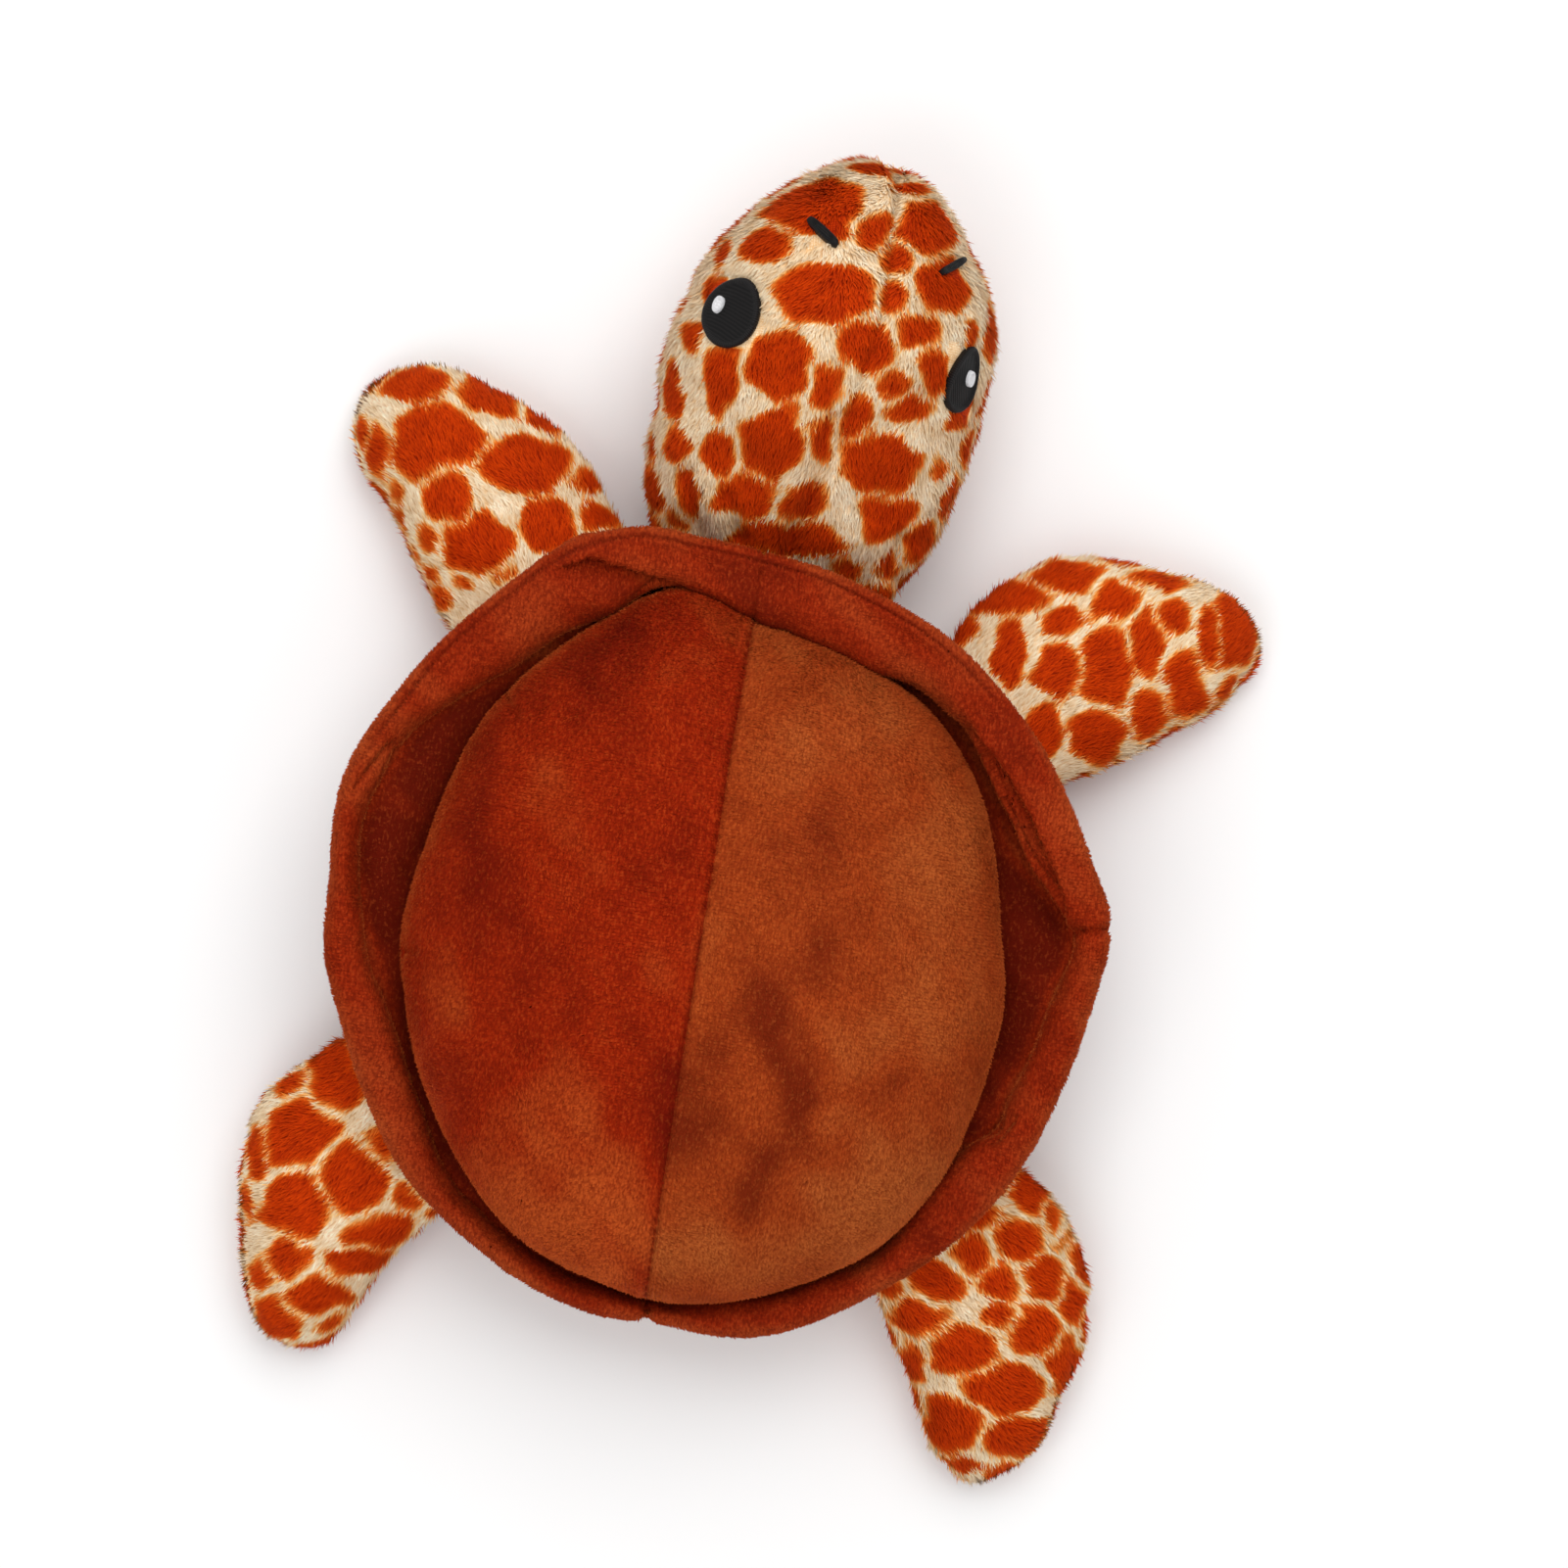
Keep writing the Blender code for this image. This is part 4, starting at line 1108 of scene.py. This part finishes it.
# Four flippers: each is two layers of the printed plush, seamed along both edges, turned and
# stuffed, thinner towards its tip. The flat-sewn root is caught in the side seam under the rim.
flipper_prints = {
    "front_left_flipper": (
        (424, 393, 36, 18), (502, 405, 31, 21), (444, 454, 39, 39), (536, 476, 41, 30),
        (457, 505, 24, 31), (387, 466, 11, 31), (371, 442, 9, 14), (405, 497, 10, 12),
        (491, 560, 31, 31), (562, 539, 27, 27), (597, 493, 14, 13), (562, 434, 17, 12),
        (594, 466, 10, 10), (611, 529, 22, 12), (411, 531, 11, 13), (436, 553, 11, 14),
        (511, 587, 15, 10), (451, 614, 12, 12), (427, 565, 9, 12), (476, 594, 13, 9),
        (442, 588, 9, 9)),
    "front_right_flipper": (
        (1023, 611, 45, 17), (1088, 590, 31, 19), (1118, 573, 26, 8), (1134, 615, 22, 22),
        (1184, 592, 30, 14), (1082, 637, 21, 14), (1029, 667, 17, 37), (1077, 687, 22, 27),
        (1129, 684, 27, 45), (1169, 657, 17, 37), (1196, 632, 19, 19), (1231, 654, 11, 37),
        (1261, 641, 22, 46), (1209, 704, 22, 37), (1171, 731, 19, 27), (1117, 751, 25, 30),
        (1064, 749, 17, 30), (1251, 702, 12, 15), (1286, 674, 8, 16), (979, 641, 9, 13)),
    "rear_left_flipper": (
        (347, 1097, 30, 32), (297, 1105, 17, 12), (309, 1154, 30, 32), (389, 1169, 20, 20),
        (363, 1202, 32, 37), (419, 1222, 14, 14), (305, 1231, 30, 32), (263, 1177, 10, 25),
        (255, 1226, 9, 20), (389, 1256, 32, 17), (297, 1282, 20, 20), (364, 1286, 30, 17),
        (324, 1321, 30, 25), (280, 1346, 25, 25), (339, 1346, 14, 12), (265, 1301, 11, 16)),
    "rear_right_flipper": (
        (1049, 1215, 21, 22), (1075, 1249, 12, 15), (1039, 1267, 27, 22), (999, 1242, 17, 12),
        (989, 1282, 22, 19), (956, 1307, 30, 25), (1022, 1308, 21, 15), (1064, 1304, 27, 20),
        (937, 1342, 27, 19), (1019, 1343, 25, 11), (1054, 1356, 22, 27), (984, 1374, 32, 25),
        (930, 1389, 16, 25), (1019, 1417, 40, 27), (1088, 1394, 17, 32), (967, 1452, 30, 32),
        (1039, 1466, 32, 21), (1096, 1329, 15, 27), (907, 1315, 12, 14), (986, 1495, 26, 7),
        (1082, 1262, 8, 14))}
# Which edge of each flipper turns its seam up, and how much further its patches of print reach
# than they are listed.
seam_sides = {"front_left_flipper": 1, "front_right_flipper": -1, "rear_left_flipper": -1,
              "rear_right_flipper": 1}
print_growth = {"front_left_flipper": 0.0006, "front_right_flipper": 0.0003,
                "rear_left_flipper": 0.0008, "rear_right_flipper": 0.0008}
flipper_patches = (0.0045, 0.0090)


def near_points(places, points, width):
    """1 at a row of points and 0 away from it."""
    tree = KDTree(len(points))
    for index, point in enumerate(points):
        tree.insert(point, index)
    tree.balance()
    return bell(np.array([tree.find(place)[2] for place in places]), width)


for number, (name, prints) in enumerate(flipper_prints.items()):
    pivot, way = limb_pivots[name][0], Vector(limb_ways(name)[0])
    flipper = stuffed_form(name, (f"{name}_top", f"{name}_underside", f"{name}_stuffing"),
                           lambda places, outward: np.abs(outward[:, 2]) < 0.3)
    places, outward = places_of(flipper.data), places_of(flipper.data, "normal")
    aside = outward @ np.array((-way.y, way.x, 0.0))
    edge = bell(outward[:, 2] - 0.38 * seam_sides[name] * aside, 0.15)
    depth = fur_seam_line * edge - 0.0010 * ripple(places, 0.03, 60 + number)
    press_in(flipper.data, places, outward, depth)
    skin, outward = places_of(flipper.data), places_of(flipper.data, "normal")
    seeds = seeded_patches(prints, surface_of(flipper.data))
    seeds = strewn_patches(skin, (outward[:, 2] < 0.1) | (along_limb(name, skin) < 0.012), seeds,
                           flipper_patches, 70 + number)
    seam = np.flatnonzero(edge > 0.93)
    nap = nap_towards((way.x, way.y, -0.1), 0.35, 80 + number, 0.03)
    dyed = grow_fur(flipper, nap, 90 + number)
    set_values(flipper.data, "print", print_values(dyed, seeds, print_growth[name]))
    # Painted shade along the seam of the flipper's edge.
    set_values(flipper.data, "fold", 0.5 * near_points(dyed, skin[seam], 0.0009))
    flipper.data.materials.append(printed_fur)
    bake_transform(flipper)
    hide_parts(f"{name}_top", f"{name}_underside", f"{name}_stuffing")

# Face: satin-stitched patches sewn to the head. Two black egg-shaped eyes of twill with a close
# border of thread, a small white highlight on each, and two short black bars on the snout.
patch_sides = 72
patch_turns = 95.0
twill_scale = 480.0
patch_lift = 0.0016
glint_lift = 0.0024
glints = (("left", (739, 315), (3.7, 8.4), 28.0), ("right", (983, 384), (2.8, 8.0), 10.0))


def thread_material(name, dark, light, roughness):
    """Twill inside, and satin stitch across the border."""
    material, tree, shader = new_material(name, {"Roughness": roughness,
                                                 "Specular IOR Level": 0.15})
    threads = reckon(tree, "MULTIPLY", value_of(tree, "turn"), patch_turns)
    twill = add_node(tree, "ShaderNodeTexWave",
                     {"Vector": object_place(tree), "Scale": twill_scale, "Distortion": 0.4},
                     wave_type="BANDS", bands_direction="DIAGONAL").outputs[1]
    height = add_node(tree, "ShaderNodeMix",
                      {0: value_of(tree, "border"), 2: map_range(tree, twill, 0.0, 1.0, 0.0, 0.5),
                       3: map_range(tree, reckon(tree, "SINE", threads), -1.0, 1.0)},
                      data_type="FLOAT").outputs[0]
    tree.links.new(blend_colours(tree, height, dark, light), shader.inputs["Base Color"])
    add_bump(tree, shader, height, 0.5, 0.0003)
    return material


black_thread = thread_material("black_thread", colour(12, 11, 11), colour(34, 31, 31), 0.55)
white_thread = thread_material("white_thread", colour(214, 212, 214), colour(246, 246, 248), 0.4)


def sewn_patch(name, shape, lift, cloth):
    """A patch laid on the head: loops drawn on the photograph, put down on the skin, with a
    raised border. The shape is a row of face_patches."""
    middle, halves, turn_deg, egg, border, roundness = shape
    turn = math.radians(turn_deg)
    shares = ((1.0, -0.0012), (1.03, 0.0002), (1.0, 0.0009), (0.95, 0.0013),
              (0.5 + border / 2, 0.0013), (border, 0.0007), (border * 0.8, 0.0007),
              (border * 0.5, 0.0008), (border * 0.2, 0.0008))
    loops, turns, borders = [], [], []
    for share, rise in shares:
        loop = []
        for angle in np.linspace(0, 2 * math.pi, patch_sides, endpoint=False):
            side, end = math.cos(angle), math.sin(angle)
            across = halves[0] * share * math.copysign(abs(side) ** roundness, side)
            tall = halves[1] * share * math.copysign(abs(end) ** roundness, end)
            across *= 1 - egg * end
            u = middle[0] + across * math.cos(turn) + tall * math.sin(turn)
            v = middle[1] - (tall * math.cos(turn) - across * math.sin(turn))
            hit, normal = seen_on(head_skin, u, v)
            loop.append(hit + normal * (lift + rise))
            turns.append(angle)
            borders.append(1.0 if share > border + 0.01 else 0.0)
        loops.append(loop)
    patch = place_object(name, raise_rings(loops))
    patch.data.materials.append(cloth)
    set_values(patch.data, "turn", np.array(turns))
    set_values(patch.data, "border", np.array(borders))
    patch.data.shade_smooth()
    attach(patch, "head")
    return patch


for name, shape in face_patches.items():
    piece = sewn_patch(name.replace("patch_", ""), shape, patch_lift, black_thread)
    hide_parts(name)
for hand, middle, halves, turn_deg in glints:
    glint = sewn_patch(f"eye_glint_{hand}", (middle, halves, turn_deg, 0.0, 0.5, 1.0),
                       glint_lift, white_thread)
    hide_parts(f"eye_highlight_{hand}")

# Root seams: the flat ends of the head and flippers, folded and stitched down as a strip that is
# caught between shell and belly. They are out of sight under the rim.
material, tree, shader = new_material("seam_cloth", {"Roughness": 0.9})
weave = add_node(tree, "ShaderNodeTexWave", {"Vector": object_place(tree), "Scale": 420.0},
                 wave_type="BANDS").outputs[1]
tree.links.new(blend_colours(tree, weave, colour(150, 110, 70), colour(222, 198, 158)),
               shader.inputs["Base Color"])
for limb in limb_pivots:
    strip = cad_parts[f"{limb}_root_seam"]
    strip.data.materials.clear()
    strip.data.materials.append(material)

# Stage: a plain white floor that keeps the object's soft shadow, two large soft lamps and an even
# sky, at a level at which a colour renders about as it is written. Far from the object the camera
# sees the floor as plain white.
lamps = (("key", (-0.10, -0.70, 1.20), 1.1, 9.8), ("fill", (0.35, 0.65, 1.25), 1.1, 5.0))
sky_strength = 0.62
white_from = (0.34, 0.80)
floor_size = 6.0

world = bpy.data.worlds.new("studio")
bpy.context.scene.world = world
world.use_nodes = True
sky = world.node_tree.nodes["Background"]
sky.inputs["Color"].default_value = (1, 1, 1, 1)
seen = add_node(world.node_tree, "ShaderNodeLightPath").outputs["Is Camera Ray"]
world.node_tree.links.new(map_range(world.node_tree, seen, 0.0, 1.0, sky_strength, 1.0),
                          sky.inputs["Strength"])
bm = bmesh.new()
bmesh.ops.create_grid(bm, x_segments=1, y_segments=1, size=floor_size)
floor = place_object("floor", bm)
pale, tree, shader = new_material("pale_floor", {"Base Color": (0.94, 0.94, 0.94, 1),
                                                 "Roughness": 0.9})
far = add_node(tree, "ShaderNodeVectorMath", {0: object_place(tree)},
               operation="LENGTH").outputs["Value"]
seen = add_node(tree, "ShaderNodeLightPath").outputs["Is Camera Ray"]
share = reckon(tree, "MULTIPLY", map_range(tree, far, *white_from), seen)
white = add_node(tree, "ShaderNodeEmission", {"Color": (1, 1, 1, 1), "Strength": 1.0}).outputs[0]
mix = add_node(tree, "ShaderNodeMixShader", {0: share, 1: shader.outputs[0], 2: white})
tree.links.new(mix.outputs[0], tree.nodes["Material Output"].inputs["Surface"])
floor.data.materials.append(pale)
for name, place, size, power in lamps:
    light = bpy.data.lights.new(name, "AREA")
    light.size, light.energy = size, power
    lamp = bpy.data.objects.new(name, light)
    lamp.location = place
    lamp.rotation_euler = (-Vector(place)).to_track_quat("-Z", "Y").to_euler()
    bpy.context.collection.objects.link(lamp)
camera = bpy.data.objects.new("camera", bpy.data.cameras.new("camera"))
camera.location = camera_place
camera.rotation_euler = (0, 0, camera_turn)
camera.data.sensor_width = 36.0
camera.data.lens = camera.data.sensor_width * (camera_place.z - view_level) / view_width
bpy.context.collection.objects.link(camera)
bpy.context.scene.camera = camera
bpy.context.scene.view_settings.view_transform = "Standard"
